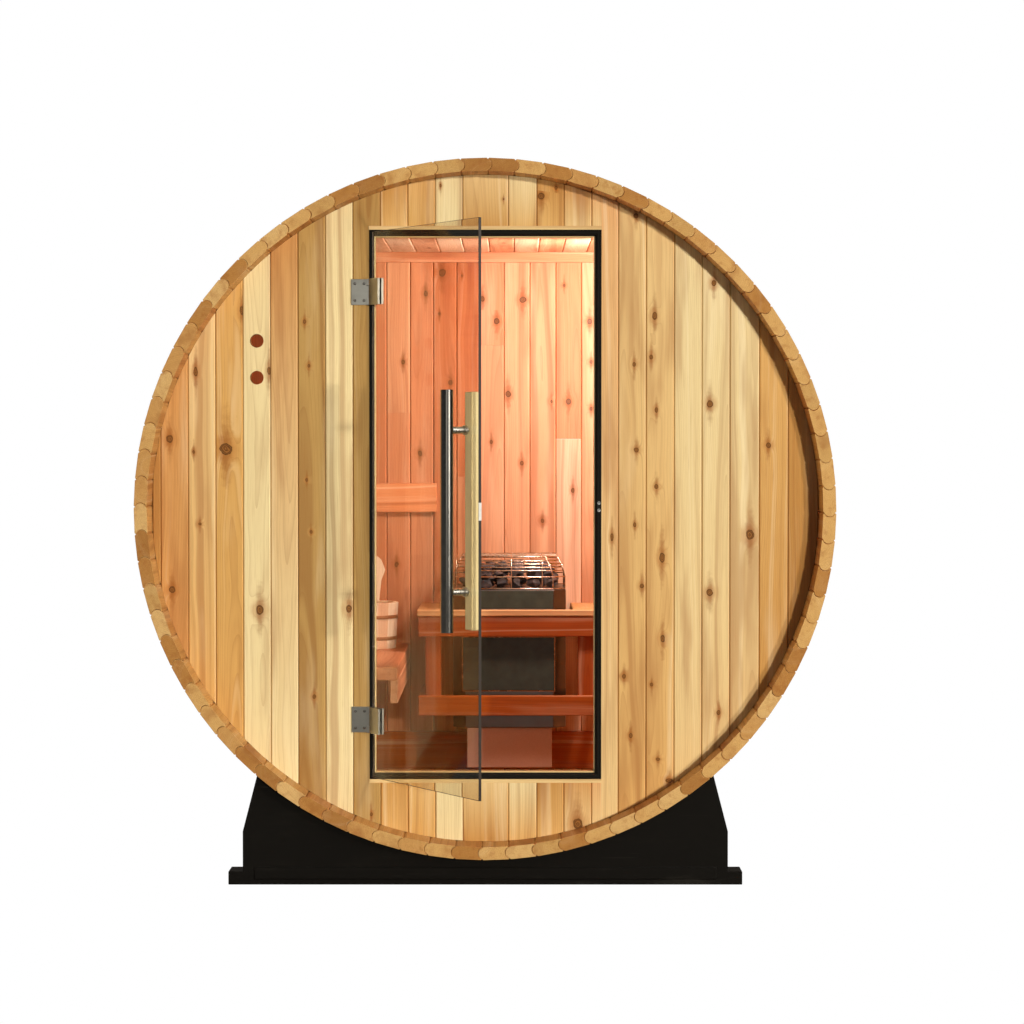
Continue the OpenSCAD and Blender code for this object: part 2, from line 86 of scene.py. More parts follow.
class Value:
    """One socket of a finish. Arithmetic on it adds the Math, Vector Math or Mix node for it."""

    def __init__(self, finish, socket):
        self.finish, self.socket = finish, socket

    def join(self, other, operation, swap=False):
        pair = [other, self] if swap else [self, other]
        if self.socket.type == "VALUE" and not isinstance(other, tuple):
            return self.finish.node("Math", {"operation": operation}, {0: pair[0], 1: pair[1]})
        pair = [(p,) * 3 if isinstance(p, (int, float)) else p for p in pair]
        if self.socket.type == "RGBA":
            return self.finish.blend(pair[0], pair[1], 1.0, operation)
        return self.finish.node("VectorMath", {"operation": operation}, {0: pair[0], 1: pair[1]})

    def __add__(self, other):
        return self.join(other, "ADD")

    def __radd__(self, other):
        return self.join(other, "ADD", True)

    def __sub__(self, other):
        return self.join(other, "SUBTRACT")

    def __rsub__(self, other):
        return self.join(other, "SUBTRACT", True)

    def __mul__(self, other):
        return self.join(other, "MULTIPLY")

    def __rmul__(self, other):
        return self.join(other, "MULTIPLY", True)

    def __truediv__(self, other):
        return self.join(other, "DIVIDE")

    def __pow__(self, other):
        return self.join(other, "POWER")

    def parts(self):
        split = self.finish.node("SeparateXYZ", {}, {0: self}).socket.node
        return [Value(self.finish, out) for out in split.outputs]


class Finish:
    """A material and the nodes that make it."""

    def __init__(self, name):
        self.material = bpy.data.materials.new(name)
        self.material.use_nodes = True
        self.tree = self.material.node_tree
        self.tree.nodes.clear()

    def node(self, kind, settings=None, sockets=None, out=0):
        made = self.tree.nodes.new("ShaderNode" + kind)
        for key, value in (settings or {}).items():
            if key == "stops":
                ramp = made.color_ramp
                while len(ramp.elements) < len(value):
                    ramp.elements.new(0.5)
                for element, (place, colour) in zip(ramp.elements, value):
                    element.position, element.color = place, colour
            else:
                setattr(made, key, value)
        for key, value in (sockets or {}).items():
            socket = made.inputs[key]
            if isinstance(value, Value):
                self.tree.links.new(value.socket, socket)
            elif isinstance(value, tuple) and socket.type == "RGBA":
                socket.default_value = (*value[:3], 1.0)
            else:
                socket.default_value = value
        return Value(self, made.outputs[out])

    def blend(self, first, second, factor, operation="MIX"):
        settings = {"data_type": "RGBA", "blend_type": operation}
        return self.node("Mix", settings, {0: factor, 6: first, 7: second}, 2)

    def place(self):
        """The place on the piece, in metres in the shared frame."""
        return self.node("TexCoord", out="Object")

    def attribute(self, name, out="Vector"):
        return self.node("Attribute", {"attribute_name": name}, {}, out)

    def noise(self, place, scale=1.0, detail=2.0, rough=0.5, out=0):
        sockets = {"Vector": place, "Scale": scale, "Detail": detail, "Roughness": rough}
        return self.node("TexNoise", {}, sockets, out)

    def ramp(self, factor, stops, interpolation="LINEAR"):
        made = self.node("ValToRGB", {"stops": stops}, {0: factor})
        made.socket.node.color_ramp.interpolation = interpolation
        return made

    def between(self, value, low, high):
        """0 where value is below low, 1 where it is above high, smooth between them."""
        sockets = {"Value": value, "From Min": low, "From Max": high}
        return self.node("MapRange", {"interpolation_type": "SMOOTHSTEP"}, sockets)

    def surface(self, bump, depth, strength, **sockets):
        sockets = {key.replace("_", " "): value for key, value in sockets.items()}
        relief = {"Height": bump, "Distance": depth, "Strength": strength}
        sockets["Normal"] = self.node("Bump", {}, relief)
        self.node_out(self.node("BsdfPrincipled", {}, sockets))
        return self.material

    def node_out(self, shader):
        out = self.tree.nodes.new("ShaderNodeOutputMaterial")
        self.tree.links.new(shader.socket, out.inputs["Surface"])


def colour(code):
    """A linear colour from a six-digit code."""
    shares = [int(code[k:k + 2], 16) / 255 for k in (0, 2, 4)]
    return tuple(s / 12.92 if s <= 0.04045 else ((s + 0.055) / 1.055) ** 2.4
                 for s in shares) + (1.0,)


RINGS_PER_M, BANDS_PER_M = 215.0, 62.0
PITH_ASIDE, PITH_BELOW = 0.11, 0.06    # how far the pith wanders beside and below a board
KNOT_PULL = 0.010         # how far a knot draws the rings aside


def cedar(name, tone, end_tone=None, late=colour("A0602C"), streaks=1.0, knots=True, rough=0.55):
    """Cedar seen at every face: growth rings about a pith off the board, broad bands, fine
    fibres, sawn ends and knots. Grain gives the place in the board, x across and y along it."""
    f = Finish(name)
    grain, board = f.attribute("grain"), f.attribute("board")
    x, y, z = grain.parts()
    pith_x, lean, pith_z = board.parts()
    place = grain + board * (7.0, 11.0, 5.0)
    drift_x, drift_z = f.noise(place * (7.0, 1.3, 7.0), out=1).parts()[:2]
    across = x - (pith_x - 0.5) * PITH_ASIDE + (drift_x - 0.5) * 0.045
    through = z + 0.015 + pith_z * PITH_BELOW + (drift_z - 0.5) * 0.04
    radius = (across * across + through * through) ** 0.5 + y * ((lean - 0.5) * 0.03)
    end = f.attribute("end", "Fac")
    shown = tone(f)
    if knots:
        near = f.attribute("knot")
        near_x, near_y, present = near.parts()
        wobble = f.noise(place, 70.0, 2.0) - 0.5
        knot_r = (near_x * near_x + near_y * near_y) ** 0.5 + wobble * 0.85
        pull = f.node("Math", {"operation": "EXPONENT"}, {0: knot_r * knot_r * -0.16}) * present
        radius = radius + pull * KNOT_PULL
    rings = f.node("Math", {"operation": "FRACT"}, {0: radius * RINGS_PER_M})
    banded = f.node("CombineXYZ", {}, {0: radius * BANDS_PER_M, 1: lean * 40.0, 2: y * 0.25})
    bands = f.noise(banded, 1.0, 2.0, 0.6)
    fibres = f.noise(place * (820.0, 11.0, 820.0), 1.0, 2.0, 0.6)
    cloud = f.noise(place * (14.0, 1.6, 14.0), 1.0, 3.0, 0.55)
    if end_tone:
        shown = f.blend(shown, end_tone(f), end)
    dark = f.blend(shown, late, 1.0, "MULTIPLY")
    dark = f.blend(dark, shown, 0.45)
    pale = f.blend(shown, colour("FFF0C8"), 0.42)
    lengthwise = end * -0.75 + 1.0
    shown = f.blend(shown, dark, rings ** 5.0 * (0.42 * streaks))
    shown = f.blend(shown, dark, f.between(bands, 0.50, 0.70) * (0.80 * streaks) * lengthwise)
    shown = f.blend(shown, pale, f.between(bands, 0.46, 0.28) * (0.55 * streaks) * lengthwise)
    shown = f.blend(shown, dark, f.between(cloud, 0.52, 0.72) * (0.75 * streaks))
    shown = f.blend(shown, pale, f.between(cloud, 0.45, 0.25) * (0.35 * streaks) * lengthwise)
    shown = f.blend(shown, dark, f.between(fibres, 0.52, 0.78) * 0.5)
    pores = f.noise(place, 900.0, 3.0, 0.7)
    shown = f.blend(shown, dark, f.between(pores, 0.45, 0.7) * end)
    stain = f.between(f.noise(place, 45.0, 4.0, 0.7), 0.5, 0.7) * end
    shown = f.blend(shown, f.blend(dark, late, 0.35), stain * 0.6)
    height = fibres * 0.5 - rings ** 4.0 * 0.4
    gloss = rough + fibres * 0.12
    if knots:
        halo = f.between(knot_r, 3.4, 0.9) * present
        heart = f.between(knot_r, 1.08, 0.92) * present
        rim = heart * f.between(knot_r, 0.74, 0.98)
        pulled = f.between((near_x * near_x + near_y * near_y * 0.035) ** 0.5 + wobble, 1.5,
                           0.2) * present
        eye = f.node("Math", {"operation": "SINE"}, {0: knot_r * 16.0}) * 0.5 + 0.5
        shown = f.blend(shown, colour("A86228"), halo * 0.45)
        shown = f.blend(shown, colour("8A4C1C"), pulled * 0.6)
        shown = f.blend(shown, f.blend(colour("4E2C10"), colour("96602C"), eye), heart * 0.9)
        shown = f.blend(shown, colour("1E0F06"), rim * 0.9)
        height = height - heart * 0.8
        gloss = gloss - heart * 0.12
    return f.surface(height, 0.0004, 0.55, Base_Color=shown, Roughness=gloss,
                     Specular_IOR_Level=0.32)


def piece_from(name, mesh, material, body, node_names):
    """A finished piece: it takes its material, rides on its body and stands for its CAD nodes."""
    shown = bpy.data.objects.new(name, mesh)
    bpy.context.scene.collection.objects.link(shown)
    if material:
        mesh.materials.clear()
        mesh.materials.append(material)
    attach(shown, body)
    if node_names:
        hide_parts(*node_names)
    return shown


def outwards(mesh):
    """The mesh with every face pointing outwards."""
    work = bmesh.new()
    work.from_mesh(mesh)
    bmesh.ops.recalc_face_normals(work, faces=work.faces)
    work.to_mesh(mesh)
    work.free()
    return mesh


def closed_mesh(name, points, faces):
    """A mesh of a closed shape, every face outwards."""
    mesh = bpy.data.meshes.new(name)
    mesh.from_pydata([tuple(p) for p in points], [], faces)
    return outwards(mesh)


def ring_faces(rings, count, closed=False):
    """The faces from each ring of points to the next, and on to the first one if closed."""
    return [(a * count + k, a * count + (k + 1) % count, b * count + (k + 1) % count, b * count + k)
            for a, b in [(row, (row + 1) % rings) for row in range(rings if closed else rings - 1)]
            for k in range(count)]


def stave_outline():
    """The section of a stave as points across it and out from the axis."""
    half = math.pi / STAVE_COUNT
    chord = STAVE_THICK - 2 * BEAD_LIP
    bend = (chord ** 2 / 4 + BEAD_RISE ** 2) / (2 * BEAD_RISE)
    outer, inner = BARREL_R * math.cos(half), INNER_R

    def edge(side, r, rise=0.0):
        return side * (r * math.tan(half) - JOINT_GAP / 2) + rise, r

    def curve(side):
        for k in range(BEAD_STEPS + 1):
            r = outer - BEAD_LIP - chord * k / BEAD_STEPS
            q = r - (outer - STAVE_THICK / 2)
            yield edge(side, r, math.sqrt(bend ** 2 - q ** 2) - bend + BEAD_RISE)

    def corners(side):
        return [(edge(side, outer)[0] - side * NICK, outer), edge(side, outer - NICK),
                *curve(side), edge(side, inner + NICK), (edge(side, inner)[0] - side * NICK, inner)]

    return corners(1) + corners(-1)[::-1]


def stave_mesh():
    """One stave at the top of the barrel, with its grain running along it."""
    outline = stave_outline()
    middle = (BARREL_R + INNER_R) / 2
    rows = [(RIM_Y, END_EASE), (RIM_Y + END_EASE, 0), (REAR_Y - END_EASE, 0), (REAR_Y, END_EASE)]
    points = []
    for y, ease in rows:
        for u, r in outline:
            keep = 1 - ease / math.hypot(u, r - middle)
            points.append((u * keep, y, middle + (r - middle) * keep))
    n = len(outline)
    faces = [tuple(reversed(range(n))), tuple(range(3 * n, 4 * n))] + ring_faces(len(rows), n)
    mesh = closed_mesh("stave", points, faces)
    grain = mesh.attributes.new("grain", "FLOAT_VECTOR", "POINT")
    for k, point in enumerate(mesh.vertices):
        grain.data[k].vector = (point.co.x, point.co.y, point.co.z - middle)
    end = mesh.attributes.new("end", "FLOAT", "FACE")
    for k, face in enumerate(mesh.polygons):
        end.data[k].value = 1.0 if abs(face.normal.y) > 0.99 else 0.0
    return mesh


def node_tree(name, inputs):
    """An empty Geometry Nodes tree with a geometry in and out and these named inputs."""
    tree = bpy.data.node_groups.new(name, "GeometryNodeTree")
    tree.interface.new_socket("Geometry", in_out="INPUT", socket_type="NodeSocketGeometry")
    for label, kind in inputs:
        tree.interface.new_socket(label, in_out="INPUT", socket_type="NodeSocket" + kind)
    tree.interface.new_socket("Geometry", in_out="OUTPUT", socket_type="NodeSocketGeometry")
    return tree, tree.nodes.new("NodeGroupInput"), tree.nodes.new("NodeGroupOutput")


def add(tree, kind, settings=None, links=None):
    """A node of the tree, with its settings and with values or links for its sockets."""
    made = tree.nodes.new(kind)
    for key, value in (settings or {}).items():
        setattr(made, key, value)
    for key, value in (links or {}).items():
        if isinstance(value, bpy.types.NodeSocket):
            tree.links.new(value, made.inputs[key])
        else:
            made.inputs[key].default_value = value
    return made


def laid_out(name, mesh, tree, values):
    """The mesh that the tree makes of this mesh and these values."""
    holder = bpy.data.objects.new(name, mesh)
    bpy.context.scene.collection.objects.link(holder)
    modifier = holder.modifiers.new("layout", "NODES")
    modifier.node_group = tree
    for item in tree.interface.items_tree:
        if item.in_out == "INPUT" and item.name in values:
            modifier[item.identifier] = values[item.name]
    evaluated = holder.evaluated_get(bpy.context.evaluated_depsgraph_get())
    made = bpy.data.meshes.new_from_object(evaluated)
    made.name = name
    bpy.data.objects.remove(holder)
    return made


def painted(tree, geometry, material, result):
    """The tree, ended with this geometry made real and given its material."""
    real = add(tree, "GeometryNodeRealizeInstances", links={0: geometry.outputs[0]})
    dressed = add(tree, "GeometryNodeSetMaterial", links={0: real.outputs[0], "Material": material})
    tree.links.new(dressed.outputs[0], result.inputs[0])
    return tree


def stave_tree(material):
    tree, given, result = node_tree("Staves round a barrel", [
        ("Count", "Int"), ("First Angle", "Float"), ("Centre Height", "Float"), ("Seed", "Int")])
    centre = add(tree, "ShaderNodeCombineXYZ", links={2: given.outputs["Centre Height"]})
    points = add(tree, "GeometryNodePoints", links={"Count": given.outputs["Count"],
                                                    "Position": centre.outputs[0]})
    index = add(tree, "GeometryNodeInputIndex")
    step = add(tree, "ShaderNodeMath", {"operation": "DIVIDE"},
               {0: 2 * math.pi, 1: given.outputs["Count"]})
    angle = add(tree, "ShaderNodeMath", {"operation": "MULTIPLY_ADD"},
                {0: index.outputs[0], 1: step.outputs[0], 2: given.outputs["First Angle"]})
    turn = add(tree, "ShaderNodeCombineXYZ", links={1: angle.outputs[0]})
    copies = add(tree, "GeometryNodeInstanceOnPoints", links={
        "Points": points.outputs[0], "Instance": given.outputs["Geometry"],
        "Rotation": turn.outputs[0]})
    chance = add(tree, "FunctionNodeRandomValue", {"data_type": "FLOAT_VECTOR"},
                 {"Seed": given.outputs["Seed"]})
    named = add(tree, "GeometryNodeStoreNamedAttribute", {"data_type": "FLOAT_VECTOR",
                                                          "domain": "INSTANCE"},
                {"Geometry": copies.outputs[0], "Name": "board", "Value": chance.outputs[0]})
    return painted(tree, named, material, result)


LONG_TONES = [(0.0, colour("D39A58")), (0.22, colour("E0AC66")), (0.45, colour("C98A48")),
              (0.62, colour("DCA862")), (0.8, colour("D59656")), (1.0, colour("E4B674"))]
END_TONES = [(0.0, colour("C89858")), (0.2, colour("D2A664")), (0.4, colour("B48042")),
             (0.55, colour("C89E5E")), (0.72, colour("AA783E")), (0.86, colour("D8B070")),
             (1.0, colour("C6924E"))]


def stave_tone(stops, part):
    return lambda f: f.ramp(f.attribute("board").parts()[part], stops, "CONSTANT")


stave_finish = cedar("cedar stave", stave_tone(LONG_TONES, 1), stave_tone(END_TONES, 2),
                     knots=False)
staves = laid_out("staves", stave_mesh(), stave_tree(stave_finish), {
    "Count": STAVE_COUNT, "First Angle": math.radians(90) - FIRST_JOINT - math.pi / STAVE_COUNT,
    "Centre Height": AXIS_Z, "Seed": 11})
piece_from("staves", staves, None, "barrel", STAVE_NODES)

# ---- The end walls --------------------------------------------------------------
# Tongue-and-groove cedar boards standing upright, their edges bevelled so that a V shows at
# each joint. The ends are sawn to a circle and sit in a groove round the staves.

# The olive tone is partly the boards' own colour and partly painted shadow, for the boards that the
# open door and its handle shade.
TONES = {name: colour(code) for name, code in (
    ("cream", "E6D09A"), ("pale", "E2C084"), ("honey", "D9AA66"), ("golden", "D2A25C"),
    ("tan", "C4914F"), ("pink", "CC9658"), ("rose", "E0AC72"), ("brown", "AD7A3E"),
    ("olive_and_painted_shadow", "B58F52"), ("peach", "E2A678"), ("salmon", "DB9668"), ("coral", "CE8252"),
    ("blush", "F0C49C"), ("ivory", "FFE9C6"), ("straw", "FFEDB4"), ("amber", "A54A0C"),
    ("rust", "B4580E"))}
V_EDGE = 0.0028           # bevel along the edges of a board
GROOVE_W = 0.0005         # gap left in front of the tongue, on each side of a joint
GROOVE_D = 0.005          # how deep that gap goes below the bevel
STATION = 0.012           # how finely the sawn circle is cut across a board
NO_KNOT = (9.0, 9.0, 0.0)
# Painted light: the bevel on one side of each V is toned paler, as if lit by the key lamp at the
# right, and the other side darker, as if in shade.
FLAT, PAINTED_LIT_BEVEL, PAINTED_SHADED_BEVEL = (1.0,) * 4, (1.22, 1.25, 1.30, 1.0), (0.78, 0.68, 0.54, 1.0)
BOARD_ATTRIBUTES = (("grain", "FLOAT_VECTOR", "CORNER"), ("knot", "FLOAT_VECTOR", "CORNER"),
                    ("tone", "FLOAT_COLOR", "CORNER"), ("board", "FLOAT_VECTOR", "FACE"),
                    ("end", "FLOAT", "FACE"))


def quarter_round(radius, steps):
    """A rounded corner as distances in from the edge and down from the face."""
    angles = [math.pi / 2 * k / steps for k in range(steps + 1)]
    return [(radius * (1 - math.cos(a)), radius * (1 - math.sin(a))) for a in angles]


class Timber:
    """Boards of one piece, kept as closed solids that carry their grain, tone and knots, with
    painted light and shade on the bevels of their V joints.
    """

    def __init__(self):
        self.points, self.faces = [], []
        self.seeds, self.ends, self.corners = [], [], []

    def board(self, origin, across, along, through, width, length, thick, tone, far_tone=None,
              edge=V_EDGE, steps=1, ease=0.0, groove=0.0, knots=(), reach=None, cut=(False, False),
              seed=None, shift=(0.0, 0.0)):
        """One board from a corner, by its three directions. Reach gives its two ends across its
        width, and cut says which long edges are sawn square. Shift moves the grain within it."""
        seed = seed or (random.random(), random.random(), random.random())
        first, second = TONES[tone], TONES[far_tone or tone]
        reach = reach or (lambda u: (0.0, length))
        corner = quarter_round(edge, steps)
        if groove:
            corner = [(0.0, edge + groove)] + [(du + GROOVE_W, dw) for du, dw in corner]
        left = [(0.0, 0.0)] if cut[0] else corner
        right = [(0.0, 0.0)] if cut[1] else corner
        between = max(1, round(width / STATION)) if ease == 0.0 else 1
        from_u, to_u = left[-1][0], width - right[-1][0]
        stations = left + [(from_u + (to_u - from_u) * k / between, 0.0) for k in range(1, between)]
        stations += [(width - du, dw) for du, dw in reversed(right)]
        low, high = reach(width / 2)
        knots = sorted(knots, key=lambda knot: knot[1])
        splits = [(a[1] + b[1]) / 2 for a, b in zip(knots, knots[1:])]
        rows = [((s - low) / (high - low), 0.0) for s in splits]
        if ease:
            rim = quarter_round(ease, steps)
            rows = [(v / length, du) for v, du in rim] + rows
            rows += [(1 - v / length, du) for v, du in reversed(rim)]
        else:
            rows = [(0.0, 0.0)] + rows + [(1.0, 0.0)]
        start, local = len(self.points), []
        for share, inset in rows:
            wide, deep = 1 - 2 * inset / width, 1 - 2 * inset / thick
            for u, dw in stations:
                near_v, far_v = reach(u)
                v = near_v + (far_v - near_v) * share
                for w in (dw, thick - dw):
                    local.append((width / 2 + (u - width / 2) * wide, v,
                                  thick / 2 + (w - thick / 2) * deep))
        for u, v, w in local:
            self.points.append(origin + across * u + along * v + through * w)
        n = len(stations)

        def at(row, station, back):
            return (row * n + station) * 2 + back

        def face(ids, end=0.0, bevel_light=FLAT):
            middle_v = sum(local[k][1] for k in ids) / len(ids)
            knot = min(knots, key=lambda one: abs(one[1] - middle_v)) if knots else None
            self.faces.append(tuple(start + k for k in ids))
            self.seeds.append(seed)
            self.ends.append(end)
            for k in ids:
                u, v, w = local[k]
                near = NO_KNOT
                if knot:
                    near = ((u - knot[0]) / knot[2], (v - knot[1]) / (knot[2] * knot[3]), 1.0)
                share = min(1.0, max(0.0, (v - low) / (high - low)))
                blend = tuple((a + (b - a) * share) * c for a, b, c in zip(first, second, bevel_light))
                self.corners.append(((u - width / 2 + shift[0], v + shift[1], w), near, blend))

        last = len(rows) - 1
        for row in range(last):
            for k in range(n - 1):
                slope = stations[k + 1][1] - stations[k][1]
                # Painted light and shade: bevels that rise towards the right face the key lamp and
                # are toned paler, and the others are toned darker.
                bevel_light = (PAINTED_LIT_BEVEL if slope > 0 else PAINTED_SHADED_BEVEL) if groove and slope else FLAT
                for back in (0, 1):
                    face((at(row, k, back), at(row, k + 1, back), at(row + 1, k + 1, back),
                          at(row + 1, k, back)), bevel_light=bevel_light)
            for k in (0, n - 1):
                face((at(row, k, 0), at(row, k, 1), at(row + 1, k, 1), at(row + 1, k, 0)))
        for row in (0, last):
            for k in range(n - 1):
                face((at(row, k, 0), at(row, k + 1, 0), at(row, k + 1, 1), at(row, k, 1)), 1.0)

    def mesh(self, name):
        """All the boards as one mesh with its attributes, every face outwards."""
        made = bpy.data.meshes.new(name)
        made.from_pydata([tuple(p) for p in self.points], [], self.faces)
        for label, kind, domain in BOARD_ATTRIBUTES:
            made.attributes.new(label, kind, domain)
        flat = [[x for one in self.corners for x in one[part]] for part in range(3)]
        made.attributes["grain"].data.foreach_set("vector", flat[0])
        made.attributes["knot"].data.foreach_set("vector", flat[1])
        made.attributes["tone"].data.foreach_set("color", flat[2])
        made.attributes["board"].data.foreach_set("vector",
                                                  [x for seed in self.seeds for x in seed])
        made.attributes["end"].data.foreach_set("value", self.ends)
        return outwards(made)


def boards_piece(name, timber, finish, node_names):
    """The boards as a piece of the barrel."""
    return piece_from(name, timber.mesh(name), finish, "barrel", node_names)


def own_tone(f):
    return f.attribute("tone", "Color")


X, Y, Z = Vector((1, 0, 0)), Vector((0, 1, 0)), Vector((0, 0, 1))
wall_low, wall_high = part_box("front_wall_left")
over_low, over_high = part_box("front_wall_over_door")
DOOR_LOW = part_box("front_wall_under_door")[1].z
WALL_Y, CABIN_Y = wall_low.y, wall_high.y
WALL_T = CABIN_Y - WALL_Y
WALL_R = over_high.z - AXIS_Z
DOOR_LEFT, DOOR_RIGHT, DOOR_HIGH = over_low.x, over_high.x, over_low.z
WALL_EDGE = 0.999         # share of the radius at which the outermost boards end


def sawn_round(x0):
    """The two ends of a board that starts at x0, across its width."""
    def reach(u):
        rise = math.sqrt(max(0.0, WALL_R ** 2 - (x0 + u) ** 2))
        return AXIS_Z - rise, AXIS_Z + rise
    return reach


ALL_HEIGHTS = (-9.0, 9.0)


def knots_in(x0, x1, all_knots, z0, z1):
    """The knots between two joints, as x in the board, z, radius and height by width."""
    return [(x - x0, z, r, tall) for x, z, r, tall in all_knots if x0 <= x < x1 and z0 < z < z1]


# Joints from left to right, with the tone at the foot and the head of each board
# The two olive boards beside the doorway on its left are toned darker, partly their own colour and
# partly painted shadow of the open door and its handle.
FRONT_BOARDS = [
    (-0.8564, "tan", "tan"), (-0.7840, "pink", "pink"), (-0.7116, "honey", "pale"),
    (-0.6392, "golden", "golden"), (-0.5668, "cream", "cream"), (-0.4944, "cream", "pink"),
    (-0.4220, "olive_and_painted_shadow", "olive_and_painted_shadow"), (-0.3496, "cream", "cream"), (-0.2772, "olive_and_painted_shadow", "olive_and_painted_shadow"),
    (-0.2048, "honey", "tan"), (-0.1324, "golden", "honey"), (-0.0600, "cream", "cream"),
    (0.0602, "tan", "pale"), (0.1349, "honey", "cream"), (0.2064, "honey", "tan"),
    (0.2794, "pale", "pink"), (0.3499, "pale", "rose"), (0.4232, "honey", "pale"),
    (0.4973, "honey", "pale"), (0.5704, "pale", "cream"), (0.6440, "pale", "cream"),
    (0.7218, "pale", "cream"), (0.7978, "tan", "honey"), (0.8790, "brown", "tan")]
FRONT_KNOTS = [
    (-0.832, 1.172, 0.0084, 1.1), (-0.827, 0.774, 0.0084, 1.0), (-0.763, 1.350, 0.0052, 2.2),
    (-0.769, 1.138, 0.0034, 1.4), (-0.753, 0.948, 0.0040, 1.0), (-0.684, 1.146, 0.0150, 1.1),
    (-0.642, 1.510, 0.0046, 2.4), (-0.595, 0.721, 0.0100, 1.2), (-0.570, 1.352, 0.0046, 2.4),
    (-0.360, 0.724, 0.0080, 1.3), (-0.476, 1.481, 0.0040, 1.3), (-0.465, 1.365, 0.0040, 1.2),
    (-0.471, 1.064, 0.0036, 1.2), (-0.460, 0.927, 0.0036, 1.2), (-0.452, 0.492, 0.0048, 1.2),
    (-0.302, 0.180, 0.0042, 1.3), (0.147, 1.811, 0.0085, 1.0), (0.186, 1.832, 0.0040, 1.2),
    (0.048, 1.803, 0.0026, 1.0), (0.698, 0.919, 0.0105, 1.2), (0.746, 1.156, 0.0066, 1.1),
    (0.244, 0.154, 0.0120, 1.1), (0.446, 1.496, 0.0058, 1.6), (0.602, 1.582, 0.0062, 1.3),
    (0.396, 1.759, 0.0060, 1.0), (0.392, 1.368, 0.0047, 1.4), (0.437, 1.388, 0.0050, 1.3),
    (0.451, 1.248, 0.0042, 1.5), (0.592, 1.265, 0.0080, 1.1), (0.398, 1.143, 0.0060, 1.0),
    (0.451, 1.046, 0.0053, 1.2), (0.394, 0.946, 0.0040, 1.5), (0.466, 0.860, 0.0070, 1.9),
    (0.413, 0.785, 0.0056, 1.1), (0.592, 0.767, 0.0088, 1.0), (0.334, 0.913, 0.0040, 2.5),
    (0.468, 0.645, 0.0060, 1.6), (0.366, 0.545, 0.0047, 1.2), (0.439, 0.524, 0.0040, 1.2),
    (0.384, 0.388, 0.0047, 1.4), (0.456, 0.326, 0.0053, 0.8), (0.616, 0.450, 0.0053, 1.3),
    (0.485, 0.269, 0.0085, 0.7), (-0.118, 1.838, 0.0030, 1.5), (-0.240, 0.300, 0.0036, 1.4)]

random.seed(5)
VENTS = [(-0.602, 1.4305), (-0.602, 1.3335)]    # middles of the two vents
VENT_R, VENT_SIDES = 0.018, 48
front, vented = Timber(), Timber()
west = -WALL_R * WALL_EDGE
for east, foot, head in FRONT_BOARDS:
    east = min(east, WALL_R * WALL_EDGE)
    seed = (random.random(), random.random(), random.random())
    spans = [(west, min(east, DOOR_LEFT), None)] if west < DOOR_LEFT else []
    if east > DOOR_LEFT and west < DOOR_RIGHT:
        spans += [(max(west, DOOR_LEFT), min(east, DOOR_RIGHT), side) for side in ("over", "under")]
    if east > DOOR_RIGHT:
        spans += [(max(west, DOOR_RIGHT), east, None)]
    for x0, x1, side in spans:
        whole = sawn_round(x0)
        reach, span_z = {
            None: (whole, ALL_HEIGHTS),
            "over": (lambda u: (DOOR_HIGH, whole(u)[1]), (DOOR_HIGH, ALL_HEIGHTS[1])),
            "under": (lambda u: (whole(u)[0], DOOR_LOW), (ALL_HEIGHTS[0], DOOR_LOW))}[side]
        timber = vented if x0 < VENTS[0][0] < x1 else front
        timber.board(Vector((x0, WALL_Y, 0)), X, Z, Y, x1 - x0, 1.0, WALL_T, foot, head,
                     knots=knots_in(x0, x1, FRONT_KNOTS, *span_z), reach=reach, seed=seed,
                     groove=GROOVE_D, cut=(x0 != west, x1 != east),
                     shift=((x0 + x1 - west - east) / 2, 0.0))
    west = east

# Two round vents are bored through one board of the left half before it is fitted
vent_board = bpy.data.objects.new("vent_board", vented.mesh("vent_board"))
bpy.context.scene.collection.objects.link(vent_board)
for x, z in VENTS:
    bpy.ops.mesh.primitive_cylinder_add(vertices=VENT_SIDES, radius=VENT_R, depth=3 * WALL_T,
                                        location=(x, (WALL_Y + CABIN_Y) / 2, z),
                                        rotation=(math.pi / 2, 0, 0))
    bore = bpy.context.object
    for label, kind, domain in BOARD_ATTRIBUTES:
        bore.data.attributes.new(label, kind, domain)
    bpy.context.view_layer.update()
    for loop in bore.data.loops:
        place = bore.matrix_world @ bore.data.vertices[loop.vertex_index].co
        bore.data.attributes["grain"].data[loop.index].vector = (place.x - x, place.z, place.y)
        bore.data.attributes["knot"].data[loop.index].vector = NO_KNOT
        bore.data.attributes["tone"].data[loop.index].color = TONES["brown"]
    cutter = vent_board.modifiers.new("vent", "BOOLEAN")
    cutter.object, cutter.solver = bore, "EXACT"
    with bpy.context.temp_override(object=vent_board, active_object=vent_board):
        bpy.ops.object.modifier_apply(modifier="vent")
    bpy.data.objects.remove(bore)

fitted = bmesh.new()
fitted.from_mesh(front.mesh("front_wall"))
fitted.from_mesh(vent_board.data)
wall_mesh = bpy.data.meshes.new("front_wall_boards")
fitted.to_mesh(wall_mesh)
fitted.free()
bpy.data.objects.remove(vent_board)
end_board_finish = cedar("cedar end board", own_tone)
piece_from("front_wall_boards", wall_mesh, end_board_finish, "barrel",
           ["front_wall_left", "front_wall_right", "front_wall_over_door", "front_wall_under_door"])

